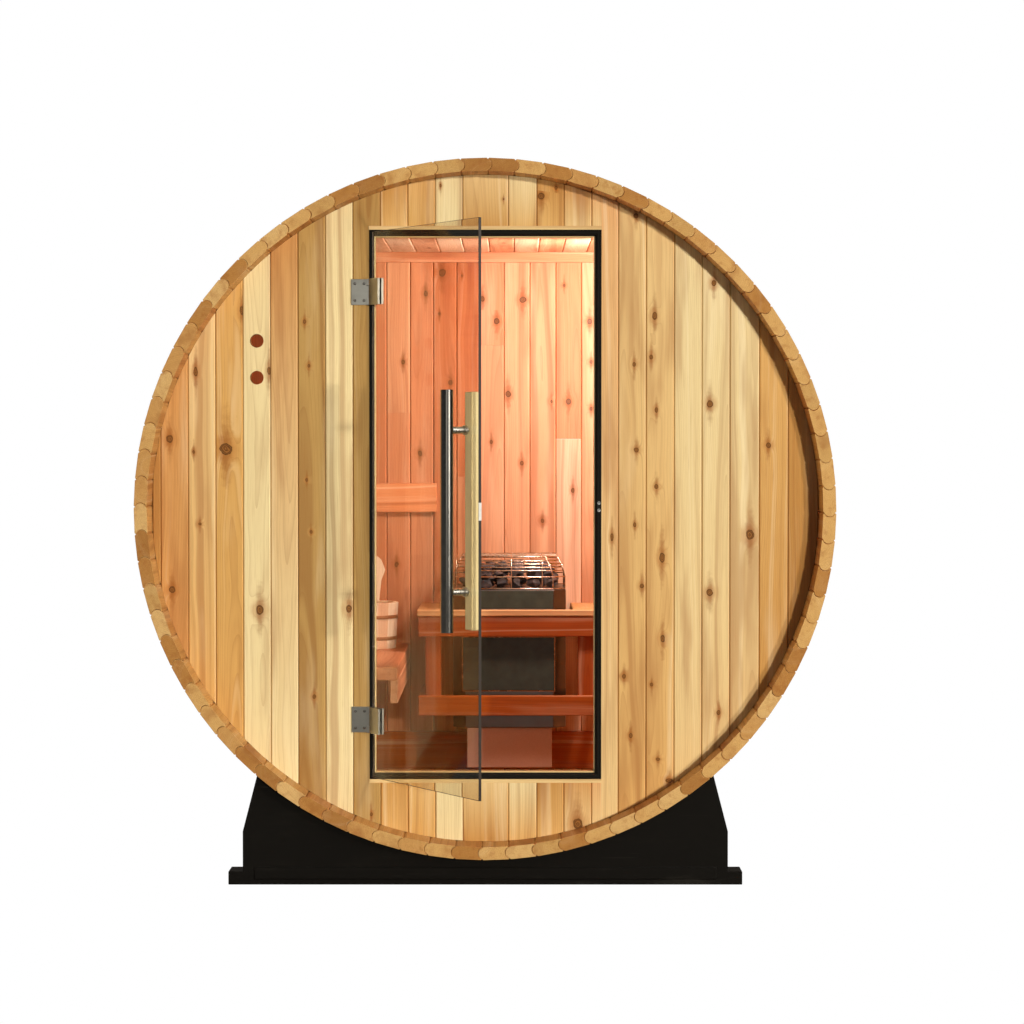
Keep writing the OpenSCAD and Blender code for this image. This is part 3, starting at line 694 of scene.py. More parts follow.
# The back wall has the same boards; its outer face is plain and its inner face is the cabin's
BACK_JOINTS = [-0.8790, -0.8100, -0.7370, -0.6640, -0.5910, -0.5180, -0.4450, -0.3720, -0.2994,
               -0.2296, -0.1611, -0.0919, -0.0254, 0.0455, 0.1218, 0.1987, 0.2744, 0.3480, 0.4210,
               0.4940, 0.5670, 0.6400, 0.7130, 0.7860, 0.8590, 0.8790]
BACK_TONES = ["salmon", "peach", "coral", "peach", "salmon", "peach", "salmon", "coral", "peach",
              "salmon", "coral", "coral", "salmon", "peach", "peach", "salmon", "peach", "blush",
              "peach", "salmon", "peach", "salmon", "peach", "coral", "peach"]
BACK_BUTTS = {12: (1.450, "peach"), 15: (1.172, "blush"), 11: (1.060, "peach"),
              8: (1.250, "salmon")}
BACK_KNOTS = [
    (-0.134, 1.665, 0.0095, 1.1), (-0.183, 1.603, 0.0060, 1.3), (-0.142, 1.543, 0.0036, 1.4),
    (-0.076, 1.656, 0.0030, 1.2), (-0.018, 1.587, 0.0060, 1.3), (0.024, 1.521, 0.0077, 1.1),
    (0.102, 1.584, 0.0089, 1.0), (0.224, 1.627, 0.0039, 1.2), (0.300, 1.520, 0.0065, 1.2),
    (0.304, 1.401, 0.0042, 1.3), (0.058, 1.305, 0.0077, 1.2), (0.187, 1.284, 0.0039, 1.2),
    (0.237, 1.284, 0.0071, 1.2), (0.304, 1.262, 0.0045, 1.2), (0.008, 1.164, 0.0042, 1.4),
    (0.099, 1.101, 0.0056, 1.2), (-0.110, 1.340, 0.0060, 1.2), (-0.250, 1.400, 0.0055, 1.2),
    (-0.200, 1.130, 0.0060, 1.2), (0.250, 1.020, 0.0050, 1.3), (-0.040, 0.960, 0.0060, 1.2),
    (0.160, 0.930, 0.0050, 1.2), (-0.270, 0.800, 0.0060, 1.2), (-0.120, 0.760, 0.0050, 1.2),
    (0.440, 1.300, 0.0070, 1.2), (0.600, 0.900, 0.0080, 1.1), (-0.480, 1.500, 0.0070, 1.2),
    (-0.620, 1.100, 0.0080, 1.1), (-0.700, 0.800, 0.0060, 1.3), (0.520, 0.500, 0.0070, 1.2)]
BUTT_GAP = 0.0004         # between two boards that meet end to end
back_low, back_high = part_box("back_wall")
back = Timber()
for k, (west, east) in enumerate(zip(BACK_JOINTS, BACK_JOINTS[1:])):
    whole = sawn_round(west)
    lengths = [(whole, BACK_TONES[k], ALL_HEIGHTS)]
    if k in BACK_BUTTS:
        butt, lower = BACK_BUTTS[k]
        lengths = [(lambda u, b=butt: (whole(u)[0], b), lower, (ALL_HEIGHTS[0], butt)),
                   (lambda u, b=butt: (b + BUTT_GAP, whole(u)[1]), BACK_TONES[k],
                    (butt, ALL_HEIGHTS[1]))]
    for reach, tone, span_z in lengths:
        back.board(Vector((west, back_low.y, 0)), X, Z, Y, east - west, 1.0,
                   back_high.y - back_low.y, tone, knots=knots_in(west, east, BACK_KNOTS, *span_z),
                   reach=reach, groove=GROOVE_D)
cabin_finish = cedar("cedar cabin board", own_tone)
boards_piece("back_wall_boards", back, cabin_finish, ["back_wall"])

# ---- The doorway ------------------------------------------------------------------
# Planed cedar boards line the opening, and a black rubber seal with a grooved lip is pressed
# into the rebate in front of them for the glass to close on.

EASE = 0.0018             # rounding on the edges of planed trim


def box_board(timber, low, high, run, tone, ease=EASE, **how):
    """A planed board that fills a box, its grain running along the axis named by run."""
    size = high - low
    across, along, through = {"x": (Y, X, Z), "y": (X, Y, Z), "z": (X, Z, Y)}[run]
    timber.board(low.copy(), across, along, through, abs(size.dot(across)), abs(size.dot(along)),
                 abs(size.dot(through)), tone, edge=ease, steps=2, ease=ease, **how)


lining_low, lining_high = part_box("doorway_lining")
LINING_T = 0.020
lining = Timber()
for x0 in (lining_low.x, lining_high.x - LINING_T):
    box_board(lining, Vector((x0, lining_low.y, lining_low.z)),
              Vector((x0 + LINING_T, lining_high.y, lining_high.z)), "z", "cream")
for z0 in (lining_low.z, lining_high.z - LINING_T):
    box_board(lining, Vector((lining_low.x + LINING_T, lining_low.y, z0)),
              Vector((lining_high.x - LINING_T, lining_high.y, z0 + LINING_T)), "x", "pale")
trim_finish = cedar("planed cedar trim", own_tone, knots=False, streaks=0.7, rough=0.5)
boards_piece("doorway_lining_boards", lining, trim_finish, ["doorway_lining"])

seal_low, seal_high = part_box("doorway_seal")
# Section of the seal: inwards from the edge of the opening, and back from its front lip
SEAL_SECTION = [(0.0001, 0.0130), (0.0001, 0.0022), (0.0005, 0.0008), (0.0016, 0.0), (0.0040, 0.0),
                (0.0047, 0.0010), (0.0055, 0.0010), (0.0062, 0.0), (0.0100, 0.0), (0.0118, 0.0006),
                (0.0127, 0.0022), (0.0130, 0.0048), (0.0158, 0.0052), (0.0166, 0.0062),
                (0.0168, 0.0080), (0.0164, 0.0128), (0.0160, 0.0130)]
CORNERS = ((-1, -1), (1, -1), (1, 1), (-1, 1))    # of an upright rectangle, from the lower left
seal_points = []
for sx, sz in CORNERS:
    for inwards, backwards in SEAL_SECTION:
        x = (seal_low.x if sx < 0 else seal_high.x) - sx * inwards
        z = (seal_low.z if sz < 0 else seal_high.z) - sz * inwards
        seal_points.append((x, seal_low.y + backwards, z))
seal_faces = ring_faces(len(CORNERS), len(SEAL_SECTION), closed=True)


def mottled(name, tints, scale, detail, depth, strength, rough, rougher, stretch=None, **more):
    """A finish that wanders between two colours, with a little relief and a changing gloss."""
    f = Finish(name)
    place = f.place() * stretch if stretch else f.place()
    pattern = f.noise(place, scale, detail)
    return f.surface(pattern, depth, strength, Base_Color=f.blend(*map(colour, tints), pattern),
                     Roughness=pattern * rougher + rough, **more)


rubber = mottled("black rubber", ("0B0906", "1A1712"), 160.0, 4.0, 0.0002, 0.4, 0.5, 0.25,
                 Specular_IOR_Level=0.2)
piece_from("doorway_seal_rubber", closed_mesh("doorway_seal_rubber", seal_points, seal_faces),
           rubber, "barrel", ["doorway_seal"])

# ---- The beads round the doorway ----------------------------------------------------
# A thin planed bead is pinned to the wall boards above the seal, and another below it.

BEAD_H, BEAD_T, BEAD_PAST = 0.010, 0.003, 0.001    # its ends stand a little past the seal
beads = Timber()
for z0 in (seal_low.z - BEAD_H, seal_high.z):
    box_board(beads, Vector((seal_low.x - BEAD_PAST, WALL_Y - BEAD_T, z0)),
              Vector((seal_high.x + BEAD_PAST, WALL_Y, z0 + BEAD_H)), "x", "pale", ease=0.0008)
boards_piece("doorway_beads", beads, trim_finish, [])

# ---- The magnetic catch -------------------------------------------------------------
# A small blackened plate on the jamb with two bright round studs, each dished in the middle.


def even_shading(mesh, smooth):
    """The mesh with smooth curves and flat faces: normals are weighted by the size of each face."""
    mesh.shade_smooth()
    mesh.set_sharp_from_angle(angle=math.radians(smooth))
    holder = bpy.data.objects.new("holder", mesh)
    bpy.context.scene.collection.objects.link(holder)
    weighted = holder.modifiers.new("weighted", "WEIGHTED_NORMAL")
    weighted.keep_sharp, weighted.weight = True, 100
    evaluated = holder.evaluated_get(bpy.context.evaluated_depsgraph_get())
    made = bpy.data.meshes.new_from_object(evaluated)
    made.name = mesh.name
    bpy.data.objects.remove(holder)
    return made


def capped_rings(rings, count):
    """The faces of a solid made of rings of points, with a flat cap at each end."""
    return ring_faces(rings, count) + [tuple(range(count)),
                                       tuple((rings - 1) * count + k for k in range(count))]


def turned(sections, centre, axis, sides, hollow=False):
    """Points and faces of a shape turned on a lathe: each section is a distance along the axis
    and a radius. A hollow one is a ring, closed from its last section to its first."""
    points = []
    for along, radius in sections:
        for k in range(sides):
            a = 2 * math.pi * k / sides
            p, q = radius * math.cos(a), radius * math.sin(a)
            offset = {"x": (along, p, q), "y": (p, along, q), "z": (p, q, along)}[axis]
            points.append(Vector(centre) + Vector(offset))
    rings = len(sections)
    return points, ring_faces(rings, sides, closed=True) if hollow else capped_rings(rings, sides)


def gathered(name, shapes, smooth=35):
    """One closed mesh of several shapes, each given as points and faces."""
    points, faces = [], []
    for shape_points, shape_faces in shapes:
        faces += [tuple(len(points) + k for k in face) for face in shape_faces]
        points += shape_points
    return even_shading(closed_mesh(name, points, faces), smooth)


def steel(name, tint, rough, brushed=(900.0, 12.0, 12.0), strength=0.25, metallic=1.0, soil=0.25):
    """Steel with the fine lines of its polishing and a little handling dirt."""
    f = Finish(name)
    place = f.place()
    lines = f.noise(place * brushed, 1.0, 3.0, 0.65)
    film = f.between(f.noise(place, 24.0, 4.0, 0.6), 0.42, 0.75)
    darker = tuple(c * 0.72 for c in tint[:3]) + (1.0,)
    shown = f.blend(tint, darker, film * soil + lines * 0.18)
    return f.surface(lines, 0.0001, strength, Base_Color=shown, Metallic=metallic,
                     Roughness=film * 0.10 + lines * 0.10 + (rough - 0.06))


STUD_ASIDE = 0.0095       # how far each stud is from the middle
# Sections of turned shapes: how far along the axis, and radius
STUD_SECTIONS = [(0.0004, 0.0044), (0.00012, 0.0044), (0.0, 0.0040), (0.0, 0.0029),
                 (0.00025, 0.0025), (0.00035, 0.0)]
PLATE_BACK, PLATE_CORNER = 0.0004, 0.0045    # how far behind the studs, and its round corners
catch_low, catch_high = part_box("magnet_catch")
catch_mid = (catch_low + catch_high) / 2
studs = [turned(STUD_SECTIONS, (catch_mid.x, catch_low.y, catch_mid.z + side * STUD_ASIDE), "y", 28)
         for side in (-1, 1)]
plate_low = Vector((catch_low.x, catch_low.y + PLATE_BACK, catch_low.z))
plate = bmesh.new()
bmesh.ops.create_cube(plate, size=1.0)
bmesh.ops.scale(plate, vec=catch_high - plate_low, verts=plate.verts)
bmesh.ops.translate(plate, vec=(catch_high + plate_low) / 2, verts=plate.verts)
upright = [e for e in plate.edges if abs((e.verts[0].co - e.verts[1].co).normalized().y) > 0.9]
bmesh.ops.bevel(plate, geom=upright, offset=PLATE_CORNER, segments=6, profile=0.5, affect="EDGES")
plate.verts.index_update()
plate_shape = ([v.co.copy() for v in plate.verts],
               [tuple(v.index for v in face.verts) for face in plate.faces])
plate.free()
bright_steel = steel("bright steel", colour("C9C6BF"), 0.22)
piece_from("magnet_catch_studs", gathered("magnet_catch_studs", studs), bright_steel, "barrel", [])
black_steel = steel("blackened steel", colour("14130F"), 0.45, metallic=0.3)
piece_from("magnet_catch_plate", gathered("magnet_catch_plate", [plate_shape]), black_steel,
           "barrel", ["magnet_catch"])

# ---- The hinges -------------------------------------------------------------------
# Two cast and brushed steel hinges. A leaf is screwed to the wall with four screws, and a clamp
# of two plates grips the glass; they turn on a pin through three knuckles.

ROUND_OVER = 35           # edges that turn by more degrees than this are rounded


def rounded_piece(name, node_names, ease, material, body="barrel", steps=2):
    """A piece that is its own CAD nodes with every sharp edge rounded over."""
    made = bmesh.new()
    for node in node_names:
        made.from_mesh(frame["nodes"][node].data)
    bmesh.ops.remove_doubles(made, verts=made.verts, dist=2e-5)
    bmesh.ops.dissolve_limit(made, angle_limit=math.radians(0.6), verts=made.verts,
                             edges=made.edges)
    sharp = [e for e in made.edges
             if len(e.link_faces) == 2 and e.calc_face_angle(0) > math.radians(ROUND_OVER)]
    bmesh.ops.bevel(made, geom=sharp, offset=ease, segments=steps, profile=0.5, affect="EDGES",
                    clamp_overlap=True)
    mesh = bpy.data.meshes.new(name)
    made.to_mesh(mesh)
    made.free()
    return piece_from(name, even_shading(mesh, ROUND_OVER), material, body, node_names)


hinge_steel = steel("brushed hinge steel", colour("B0ADA2"), 0.30, brushed=(14.0, 14.0, 1100.0),
                    strength=0.35)
rounded_piece("hinge_leaves", ["hinge_leaf_top", "hinge_leaf_bottom"], 0.0006, hinge_steel)
rounded_piece("glass_clamps", ["glass_clamp_top", "glass_clamp_bottom"], 0.0007, hinge_steel,
              "door")


def screw_mesh():
    """A domed screw head with a six-sided socket, facing along -Y."""
    sides, socket_r = 24, 0.0020
    rings = [(0.0, 0.0038), (-0.0005, 0.0037), (-0.0011, 0.0030), (-0.0013, socket_r),
             (-0.0003, 0.0019)]
    points = []
    for depth, radius in rings:
        for k in range(sides):
            a = 2 * math.pi * k / sides
            off_flat = a % (math.pi / 3) - math.pi / 6
            flat = math.cos(math.pi / 6) / math.cos(off_flat) if radius <= socket_r else 1.0
            points.append((radius * flat * math.cos(a), depth, radius * flat * math.sin(a)))
    mesh = closed_mesh("screw", points, capped_rings(len(rings), sides))
    mesh.shade_smooth()
    mesh.set_sharp_from_angle(angle=math.radians(30))
    return mesh


def screw_tree(material):
    tree, given, result = node_tree("Screws on two leaves", [
        ("Across", "Float"), ("Up", "Float"), ("Middle", "Vector"), ("Hinge Spacing", "Float")])
    grid = add(tree, "GeometryNodeMeshGrid", links={
        "Size X": given.outputs["Across"], "Size Y": given.outputs["Up"], "Vertices X": 2,
        "Vertices Y": 2})
    stood = add(tree, "GeometryNodeTransform", links={"Geometry": grid.outputs[0],
                                                      "Rotation": (math.pi / 2, 0, 0)})
    offset = add(tree, "ShaderNodeCombineXYZ", links={2: given.outputs["Hinge Spacing"]})
    leaves = add(tree, "GeometryNodeMeshLine", links={
        "Count": 2, "Start Location": given.outputs["Middle"], "Offset": offset.outputs[0]})
    quads = add(tree, "GeometryNodeInstanceOnPoints", links={"Points": leaves.outputs[0],
                                                             "Instance": stood.outputs[0]})
    corners = add(tree, "GeometryNodeRealizeInstances", links={0: quads.outputs[0]})
    index = add(tree, "GeometryNodeInputIndex")
    spin = add(tree, "ShaderNodeMath", {"operation": "MULTIPLY"}, {0: index.outputs[0], 1: 0.7})
    turn = add(tree, "ShaderNodeCombineXYZ", links={1: spin.outputs[0]})
    screws = add(tree, "GeometryNodeInstanceOnPoints", links={
        "Points": corners.outputs[0], "Instance": given.outputs["Geometry"],
        "Rotation": turn.outputs[0]})
    return painted(tree, screws, material, result)


LEAF_W, LEAF_T = 0.047, 0.005
SCREWS_MIDDLE = 0.46      # share of the leaf's width
SCREWS_ACROSS, SCREWS_UP = 0.024, 0.044
leaf_low, leaf_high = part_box("hinge_leaf_bottom")
upper_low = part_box("hinge_leaf_top")[0]
screw_steel = steel("screw steel", colour("8E8B84"), 0.25)
screws = laid_out("hinge_screws", screw_mesh(), screw_tree(screw_steel), {
    "Across": SCREWS_ACROSS, "Up": SCREWS_UP, "Hinge Spacing": upper_low.z - leaf_low.z,
    "Middle": (leaf_low.x + LEAF_W * SCREWS_MIDDLE, WALL_Y - LEAF_T,
               (leaf_low.z + leaf_high.z) / 2)})
piece_from("hinge_screws", screws, None, "barrel", [])

# ---- The glass door ---------------------------------------------------------------
# One pane of 8 mm toughened glass tinted bronze, with ground edges and two holes for the handle.


def tinted_glass(name, tint, passed):
    """Glass that bends what is seen through it, and lets light fall straight through it."""
    f = Finish(name)
    haze = f.between(f.noise(f.place(), 5.0, 5.0, 0.6), 0.5, 0.85)
    glass = f.node("BsdfPrincipled", {}, {"Base Color": tint, "Roughness": haze * 0.03, "IOR": 1.20,
                                          "Transmission Weight": 1.0})
    clear = f.node("BsdfTransparent", {}, {"Color": passed})
    shadow = f.node("LightPath", out="Is Shadow Ray")
    f.node_out(f.node("MixShader", {}, {0: shadow, 1: glass, 2: clear}))
    return f.material


bronze_glass = tinted_glass("bronze glass", (0.80, 0.76, 0.69, 1.0), (0.93, 0.91, 0.87, 1.0))
pane = rounded_piece("door_pane", ["door_glass"], 0.0008, bronze_glass, "door",
                     steps=1)
# Seen end on, the thickness of the glass is nearly black
pane.data.materials.append(mottled("ground glass edge", ("1C140C", "33261A"), 1.0, 3.0, 0.0001, 0.3,
                                   0.3, 0.2, stretch=(60.0, 60.0, 900.0)))
face_way = max(pane.data.polygons, key=lambda face: face.area).normal.copy()
for face in pane.data.polygons:
    face.material_index = int(abs(face.normal.dot(face_way)) < 0.9)

# ---- The handles ------------------------------------------------------------------
# Outside, a polished steel tube on two standoffs bolted through the glass. Inside, a plain
# bar of pale wood on the same bolts, which stays cool to the hand.

PIN = Vector((-0.300, -0.013, 0))
DOOR_OPEN = math.radians(61)
door_turn = Matrix.Translation(PIN) @ Matrix.Rotation(-DOOR_OPEN, 4, "Z")
HANDLE_R, HANDLE_Z = 0.540, 0.9935
GLASS_T, REACH, TUBE_R, TUBE_LEN, STANDOFF = 0.008, 0.055, 0.016, 0.600, 0.200
tube_y = -GLASS_T / 2 - REACH
TUBE_BORE = 0.0118
# The rounded end of the tube: how far in, and radius
TUBE_END = [(0.0, TUBE_R - 0.0012), (0.0004, TUBE_R - 0.0004), (0.0012, TUBE_R)]
half_tube = TUBE_LEN / 2
tube = [turned([(-half_tube, TUBE_BORE), *[(-half_tube + d, r) for d, r in TUBE_END],
                *[(half_tube - d, r) for d, r in reversed(TUBE_END)], (half_tube, TUBE_BORE)],
               (HANDLE_R, tube_y, HANDLE_Z), "z", 64)]
near, far = TUBE_R - 0.002, REACH
POST_SECTIONS = [(near, 0.009), (far - 0.012, 0.009), (far - 0.010, 0.0086), (far - 0.0095, 0.0112),
                 (far - 0.009, 0.0120), (far - 0.001, 0.0120), (far, 0.0113),
                 (far + GLASS_T, 0.0040)]
posts = [turned(POST_SECTIONS, (HANDLE_R, tube_y, HANDLE_Z + side * STANDOFF), "y", 40)
         for side in (-1, 1)]


def hung(name, mesh_shapes, material, node_names):
    """A piece drawn on the closed door, then swung open with it."""
    mesh = gathered(name, mesh_shapes)
    mesh.transform(door_turn)
    return piece_from(name, mesh, material, "door", node_names)


dark_chrome = steel("dark chrome", colour("8C8880"), 0.13, brushed=(12.0, 12.0, 40.0),
                    strength=0.03, soil=0.2)
polished = steel("polished steel", colour("D2CBBE"), 0.28, brushed=(40.0, 40.0, 40.0),
                 strength=0.05)
hung("outer_handle_tube", tube, dark_chrome, ["outer_handle"])
hung("handle_standoffs", posts, polished, [])

BAR_W, BAR_T, BAR_LEN = 0.042, 0.022, 0.590
bar = Timber()
bar.board(Vector((HANDLE_R - BAR_W / 2, GLASS_T / 2, HANDLE_Z - BAR_LEN / 2)), X, Z, Y, BAR_W,
          BAR_LEN, BAR_T, "straw", edge=0.006, steps=4, ease=0.003)
bar_mesh = bar.mesh("inner_handle_bar")
bar_mesh.transform(door_turn)
pale_wood = cedar("pale handle wood", own_tone, late=colour("B08A52"), streaks=0.3, knots=False,
                  rough=0.42)
piece_from("inner_handle_bar", bar_mesh, pale_wood, "door", ["inner_handle"])

BOLT_SECTIONS = [(0.0, 0.0085), (0.0012, 0.0085), (0.0020, 0.0070), (0.0021, 0.0030),
                 (0.0010, 0.0028)]
BOLT_SINK = 0.0022        # how far each bolt is let into the bar
bolt_y = GLASS_T / 2 + BAR_T - BOLT_SINK
bolts = [turned(BOLT_SECTIONS, (HANDLE_R, bolt_y, HANDLE_Z + side * STANDOFF), "y", 28)
         for side in (-1, 1)]
hung("inner_handle_bolts", bolts, polished, [])

white_strike = mottled("white strike plate", ("EDEBE4", "C9C5BA"), 90.0, 4.0, 0.0001, 0.2, 0.3, 0.2)
rounded_piece("strike_plate_cap", ["strike_plate"], 0.0004, white_strike, "door")

# ---- The cradles ------------------------------------------------------------------
# Two black moulded plastic saddles, each with a proud band along its base and a foot at each
# end. Their skin has a fine moulded grain, with scuffs and dust on the lower parts.

moulded = Finish("black moulded plastic")
place = moulded.place()
pebble = moulded.noise(place, 900.0, 2.0, 0.5)
swirl = moulded.between(moulded.noise(place * (3.0, 3.0, 22.0), 1.0, 5.0, 0.7), 0.52, 0.8)
scratch = moulded.between(moulded.noise(place * (6.0, 6.0, 260.0), 1.0, 2.0, 0.5), 0.70, 0.76)
dust = moulded.between(place.parts()[2], 0.06, 0.0) * swirl
skin = moulded.blend(colour("100E0B"), colour("1E1B16"), swirl * 0.6)
skin = moulded.blend(skin, colour("3C3932"), scratch * 0.25 + dust * 0.30)
moulded.surface(pebble - scratch * 0.5, 0.0003, 0.35, Base_Color=skin,
                Roughness=pebble * 0.15 + swirl * 0.15 + 0.42, Specular_IOR_Level=0.12)
for which in ("front", "rear"):
    rounded_piece(f"cradle_{which}_moulding", [f"cradle_{which}"], 0.004, moulded.material,
                  steps=3)

# ---- The hoops --------------------------------------------------------------------
# Stainless bands round the staves, each drawn tight under the barrel by a threaded rod
# through two lugs, with a nut and washer at each end.

band_steel = steel("hoop steel", colour("B4B2AC"), 0.28, brushed=(16.0, 1500.0, 16.0), strength=0.3)
LUG_ANGLE, LUG_GAP, LUG_T, LUG_OUT = math.radians(20), 0.030, 0.006, 0.024
# Where each starts, its radius, its thickness and its sides
WASHER, NUT = (0.0, 0.0095, 0.0014, 28), (0.0014, 0.0078, 0.0065, 6)
for which in ("front", "rear"):
    hoop_low, hoop_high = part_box(f"hoop_{which}")
    hoop_y = (hoop_low.y + hoop_high.y) / 2
    rounded_piece(f"hoop_{which}_band", [f"hoop_{which}"], 0.0003, band_steel,
                  steps=1)
    nuts = []
    for side in (-1, 1):
        face = side * (LUG_GAP / 2 + LUG_T)
        for start, radius, thick, sides in (WASHER, NUT):
            a, b = face + side * start, face + side * (start + thick)
            nuts.append(turned([(a, radius * 0.94), (a + side * 0.0003, radius),
                                (b - side * 0.0006, radius), (b, radius * 0.9)],
                               (0, 0, -(BARREL_R + LUG_OUT / 2)), "x", sides))
    mesh = gathered(f"hoop_{which}_nuts", nuts, 25)
    mesh.transform(Matrix.Translation((0, hoop_y, AXIS_Z)) @ Matrix.Rotation(LUG_ANGLE, 4, "Y"))
    piece_from(f"hoop_{which}_nuts", mesh, screw_steel, "barrel", [])

# ---- The ceiling and the back of the cabin -------------------------------------------
# V-jointed cedar boards run from front to back overhead, carried at the back by a ledger.
# A plain skirting board closes the bottom of the back wall.

CEILING_JOINTS = [-0.4237, -0.3524, -0.2811, -0.2098, -0.1385, -0.0672, 0.0041, 0.0754, 0.1467,
                  0.2180, 0.2893, 0.3606, 0.4319]
CEILING_TONES = ["blush", "ivory", "blush", "ivory", "blush", "ivory", "blush", "peach", "blush",
                 "peach", "blush", "peach", "salmon", "peach"]
ceiling_low, ceiling_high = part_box("ceiling")
overhead = Timber()
edges_x = [ceiling_low.x, *CEILING_JOINTS, ceiling_high.x]
for k, (x0, x1) in enumerate(zip(edges_x, edges_x[1:])):
    knot = ((x1 - x0) * 0.6, 0.30 + 0.11 * (k % 5), 0.005, 1.3)
    overhead.board(Vector((x0, ceiling_low.y, ceiling_low.z)), X, Y, Z, x1 - x0,
                   ceiling_high.y - ceiling_low.y, ceiling_high.z - ceiling_low.z,
                   CEILING_TONES[k], groove=0.004, knots=[knot] if k % 3 == 1 else ())
boards_piece("ceiling_boards", overhead, cabin_finish, ["ceiling"])

ledge, skirt = Timber(), Timber()
ledger_low, ledger_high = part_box("back_ledger")
box_board(ledge, ledger_low, ledger_high, "x", "salmon",
          knots=[(0.009, d, 0.0028, 1.0) for d in (0.22, 0.44, 0.77, 0.98)])
boards_piece("back_ledger_board", ledge, cabin_finish, ["back_ledger"])
skirting_low, skirting_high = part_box("back_skirting")
box_board(skirt, skirting_low, skirting_high, "x", "rust", ease=0.003)
boards_piece("back_skirting_board", skirt, cabin_finish, ["back_skirting"])

# ---- The bench --------------------------------------------------------------------
# Five thick slats with rounded edges lie front to back along the left side, on a fascia and
# two cleats. A backrest board is screwed across the back wall above them.

SLATS, SLAT_GAP = 5, 0.012
slats_low, slats_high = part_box("bench_slats")
slat_w = (slats_high.x - slats_low.x - (SLATS - 1) * SLAT_GAP) / SLATS
bench = Timber()
for k, tone in enumerate(["salmon", "peach", "salmon", "peach", "salmon"]):
    x0 = slats_low.x + k * (slat_w + SLAT_GAP)
    box_board(bench, Vector((x0, slats_low.y, slats_low.z)),
              Vector((x0 + slat_w, slats_high.y, slats_high.z)), "y", tone, ease=0.004)
boards_piece("bench_boards", bench, cabin_finish, ["bench_slats"])

CLEAT_T, DOOR_PLAY = 0.020, 0.001
supports_low, supports_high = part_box("bench_supports")
carriers = Timber()
box_board(carriers, Vector((supports_high.x - CLEAT_T, slats_low.y, supports_low.z)), supports_high,
          "y", "peach")
box_board(carriers, Vector((supports_low.x, supports_high.y - CLEAT_T, supports_low.z)),
          Vector((supports_high.x - CLEAT_T, supports_high.y, supports_high.z)), "x", "peach")
box_board(carriers, supports_low, Vector((DOOR_LEFT - DOOR_PLAY, supports_low.y + CLEAT_T,
                                          supports_high.z)), "x", "peach")
boards_piece("bench_carriers", carriers, cabin_finish, ["bench_supports"])

rest = Timber()
rest_low, rest_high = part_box("backrest")
box_board(rest, rest_low, rest_high, "x", "coral", ease=0.003,
          knots=[(0.030, 0.13, 0.006, 1.2), (0.055, 0.43, 0.005, 1.4), (0.035, 0.60, 0.006, 1.1)])
boards_piece("backrest_board", rest, cabin_finish, ["backrest"])

# ---- The heater -------------------------------------------------------------------
# A sheet-steel electric heater on a wall bracket, with bevelled front corners, a dark glass
# panel in a copper frame and a plain dark band, over a lower box for its terminals.

HEATER_X, HEATER_W, HEATER_BEVEL = 0.064, 0.320, 0.035
heater_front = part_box("heater_body")[0].y
casing = steel("heater casing steel", colour("6E6660"), 0.32, brushed=(14.0, 14.0, 700.0),
               strength=0.25)
rounded_piece("heater_casing", ["heater_body"], 0.003, casing)
# The terminal box's pale paint is tinted pink, partly its own colour and partly painted reflection
# of the warm cedar round it.
box_paint_and_reflection = mottled("heater box paint and painted reflection", ("D8AC92", "B48A74"), 420.0, 3.0, 0.0001, 0.25, 0.38, 0.15)
rounded_piece("heater_terminal_box", ["heater_lower_box"], 0.003, box_paint_and_reflection)
rounded_piece("heater_wall_bracket", ["heater_bracket"], 0.002, casing)


def inset_corners(low, high, front, rings):
    """The corners of an upright rectangle for each ring: how far drawn in, and how deep."""
    return [Vector((low[0] + inset if sx < 0 else high[0] - inset, front + depth,
                    low[1] + inset if sz < 0 else high[1] - inset))
            for inset, depth in rings for sx, sz in CORNERS]


def framed(low, high, front, proud, frame_w, sunk):
    """A thin frame standing proud of the heater's front, as points and faces."""
    rings = [(0.0, 0.0), (0.0005, -proud), (frame_w - 0.0005, -proud), (frame_w, -sunk),
             (frame_w, 0.0005)]
    return inset_corners(low, high, front, rings), ring_faces(len(rings), len(CORNERS), closed=True)


def plate_at(low, high, front, thick):
    """A flat plate with eased edges on the heater's front, as points and faces."""
    ease = 0.0012
    rings = [(0.0, 0.0003), (0.0, -thick + ease), (ease * 0.3, -thick + ease * 0.3), (ease, -thick)]
    return inset_corners(low, high, front, rings), capped_rings(len(rings), len(CORNERS))


PANEL_LOW, PANEL_HIGH = (-0.067, 0.455), (0.190, 0.606)
BAND_LOW, BAND_HIGH = (-0.060, 0.6895), (0.188, 0.7395)
FRAME_W, FRAME_PROUD, FRAME_SUNK = 0.0035, 0.003, 0.001
smoked = mottled("smoked panel glass", ("34362A", "4C4E3E"), 30.0, 4.0, 0.0001, 0.05, 0.16, 0.12,
                 Specular_IOR_Level=0.3)
plates = [plate_at(PANEL_LOW, PANEL_HIGH, heater_front, 0.0020),
          plate_at(BAND_LOW, BAND_HIGH, heater_front, 0.0024)]
piece_from("heater_panel", gathered("heater_panel", plates), smoked, "barrel", [])
copper = steel("copper trim", colour("B4683C"), 0.25, brushed=(500.0, 500.0, 30.0), strength=0.1)
rim_low = tuple(v - FRAME_W for v in PANEL_LOW)
rim_high = tuple(v + FRAME_W for v in PANEL_HIGH)
rim = framed(rim_low, rim_high, heater_front, FRAME_PROUD, FRAME_W, FRAME_SUNK)
piece_from("heater_panel_frame", gathered("heater_panel_frame", [rim]), copper, "barrel", [])

# ---- The stones and their basket ------------------------------------------------------
# Split volcanic stones heaped in a basket of welded steel wire on top of the heater.

